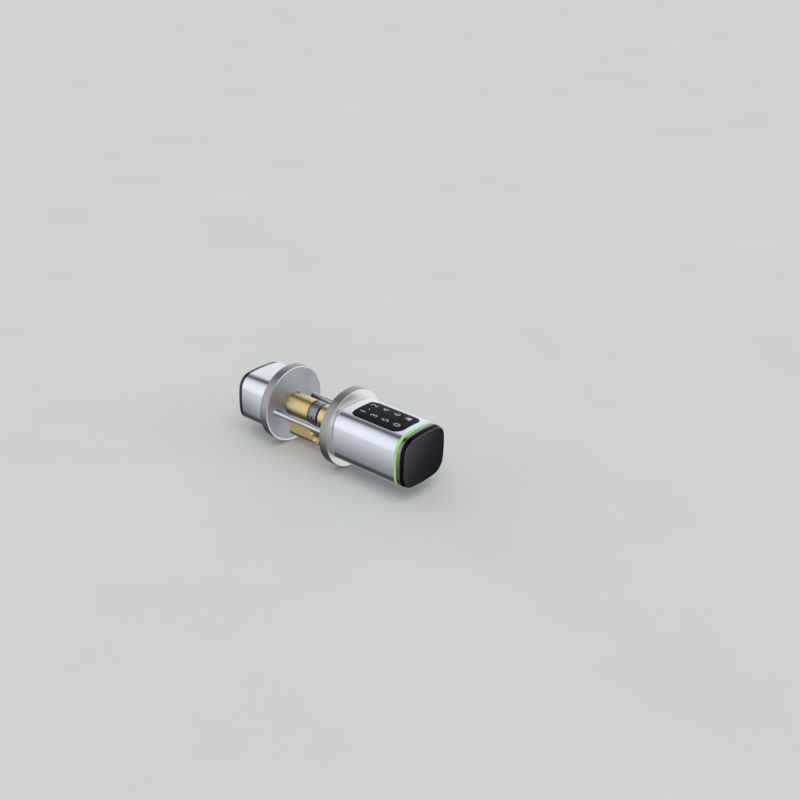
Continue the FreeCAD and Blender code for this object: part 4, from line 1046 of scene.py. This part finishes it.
def studio_world():
    """An even sky for the paint, a graded tent for what mirrors it, and the floor's colour beyond it."""
    world = bpy.data.worlds.new("studio")
    world.use_nodes = True
    world.cycles.sampling_method = "NONE"
    bpy.context.scene.world = world
    nodes, links = world.node_tree.nodes, world.node_tree.links
    sky = nodes["Background"]
    sky.inputs["Color"].default_value = (*SKY, 1)
    mirrored = nodes.new("ShaderNodeBackground")
    links.new(tent_color(nodes, links), mirrored.inputs["Color"])
    seen = nodes.new("ShaderNodeBackground")
    seen.inputs["Color"].default_value = (*BEYOND_FLOOR, 1)
    path = nodes.new("ShaderNodeLightPath")
    result = sky.outputs["Background"]
    for kind, background in (("Is Glossy Ray", mirrored), ("Is Camera Ray", seen)):
        choice = nodes.new("ShaderNodeMixShader")
        links.new(path.outputs[kind], choice.inputs["Fac"])
        links.new(result, choice.inputs[1])
        links.new(background.outputs["Background"], choice.inputs[2])
        result = choice.outputs["Shader"]
    links.new(result, nodes["World Output"].inputs["Surface"])


def key_light():
    """A broad soft sun that gives the shadow its direction. The metal doesn't mirror it."""
    sun = bpy.data.lights.new("key", "SUN")
    sun.energy = SUN_STRENGTH
    sun.angle = SUN_ANGLE
    holder = link("key", sun)
    holder.rotation_euler = SUN_DIRECTION.to_track_quat("-Z", "Y").to_euler()
    holder.visible_glossy = False


def camera():
    """The camera looks down at the lock from outside the door, left of it, and leans by two degrees."""
    yaw, rise, lean = (math.radians(a) for a in (-51.39, 25.75, 1.99))
    distance = 0.758
    aside, above = 0.0311, 0.0192
    back = Vector((math.sin(yaw) * math.cos(rise), -math.cos(yaw) * math.cos(rise), math.sin(rise)))
    level_right = Vector((math.cos(yaw), math.sin(yaw), 0))
    level_up = back.cross(level_right)
    right = math.cos(lean) * level_right + math.sin(lean) * level_up
    up = back.cross(right)
    knob_back = Vector((0, levels("knob_housing")[0], 0))
    place = Matrix((right, up, back)).transposed().to_4x4()
    place.translation = knob_back + aside * right + above * up + distance * back
    data = bpy.data.cameras.new("camera")
    data.lens = 50
    data.sensor_width = 36
    data.clip_start = 0.01
    holder = link("camera", data)
    holder.matrix_world = place
    bpy.context.scene.camera = holder


# ---------------------------------------------------------------- the whole scene


def build():
    materials = make_materials()
    dress_cad_nodes(materials)
    edge_metal = metal("plate_edge", (0.15, 0.15, 0.16), (0.2, 0.2, 0.21), 0.3)
    shown = [
        (housing(), materials["satin_aluminium"], "outer_knob", "satin_aluminium", "knob_housing"),
        (panel(), materials["keypad_glass"], "outer_knob", "keypad_glass", "keypad_panel"),
        (ring_piece(), materials["green_diffuser"], "front_cap", "green_diffuser", "light_ring"),
        (plate_piece(), materials["plate_black"], "front_cap", "plate_black", "end_plate"),
        (turn_shell(), materials["satin_aluminium"], "inner_knob", "satin_aluminium", "inner_knob"),
        (turn_cap(), materials["gloss_black"], "inner_knob", "gloss_black", "inner_end_cap"),
        (cap_piece(), hood_black(), "front_cap", "gloss_black", "end_cap"),
        (plate_edge(), edge_metal, "front_cap", "plate_black", None),
    ]
    for side in ("outer", "inner"):
        rose = rose_piece(side)
        rose.visible_glossy = False
        shown.append((rose, materials["satin_nickel"], "root", "satin_nickel", f"{side}_rose_cover"))
    for piece, material, body, slot, node in shown:
        finish_piece(piece, material, body)
        if node:
            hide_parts(node)
    keypad_marks(lit_mark())
    pale_floor()
    studio_world()
    key_light()
    bpy.context.scene.view_settings.view_transform = "Standard"
    camera()


build()
bpy.context.view_layer.update()
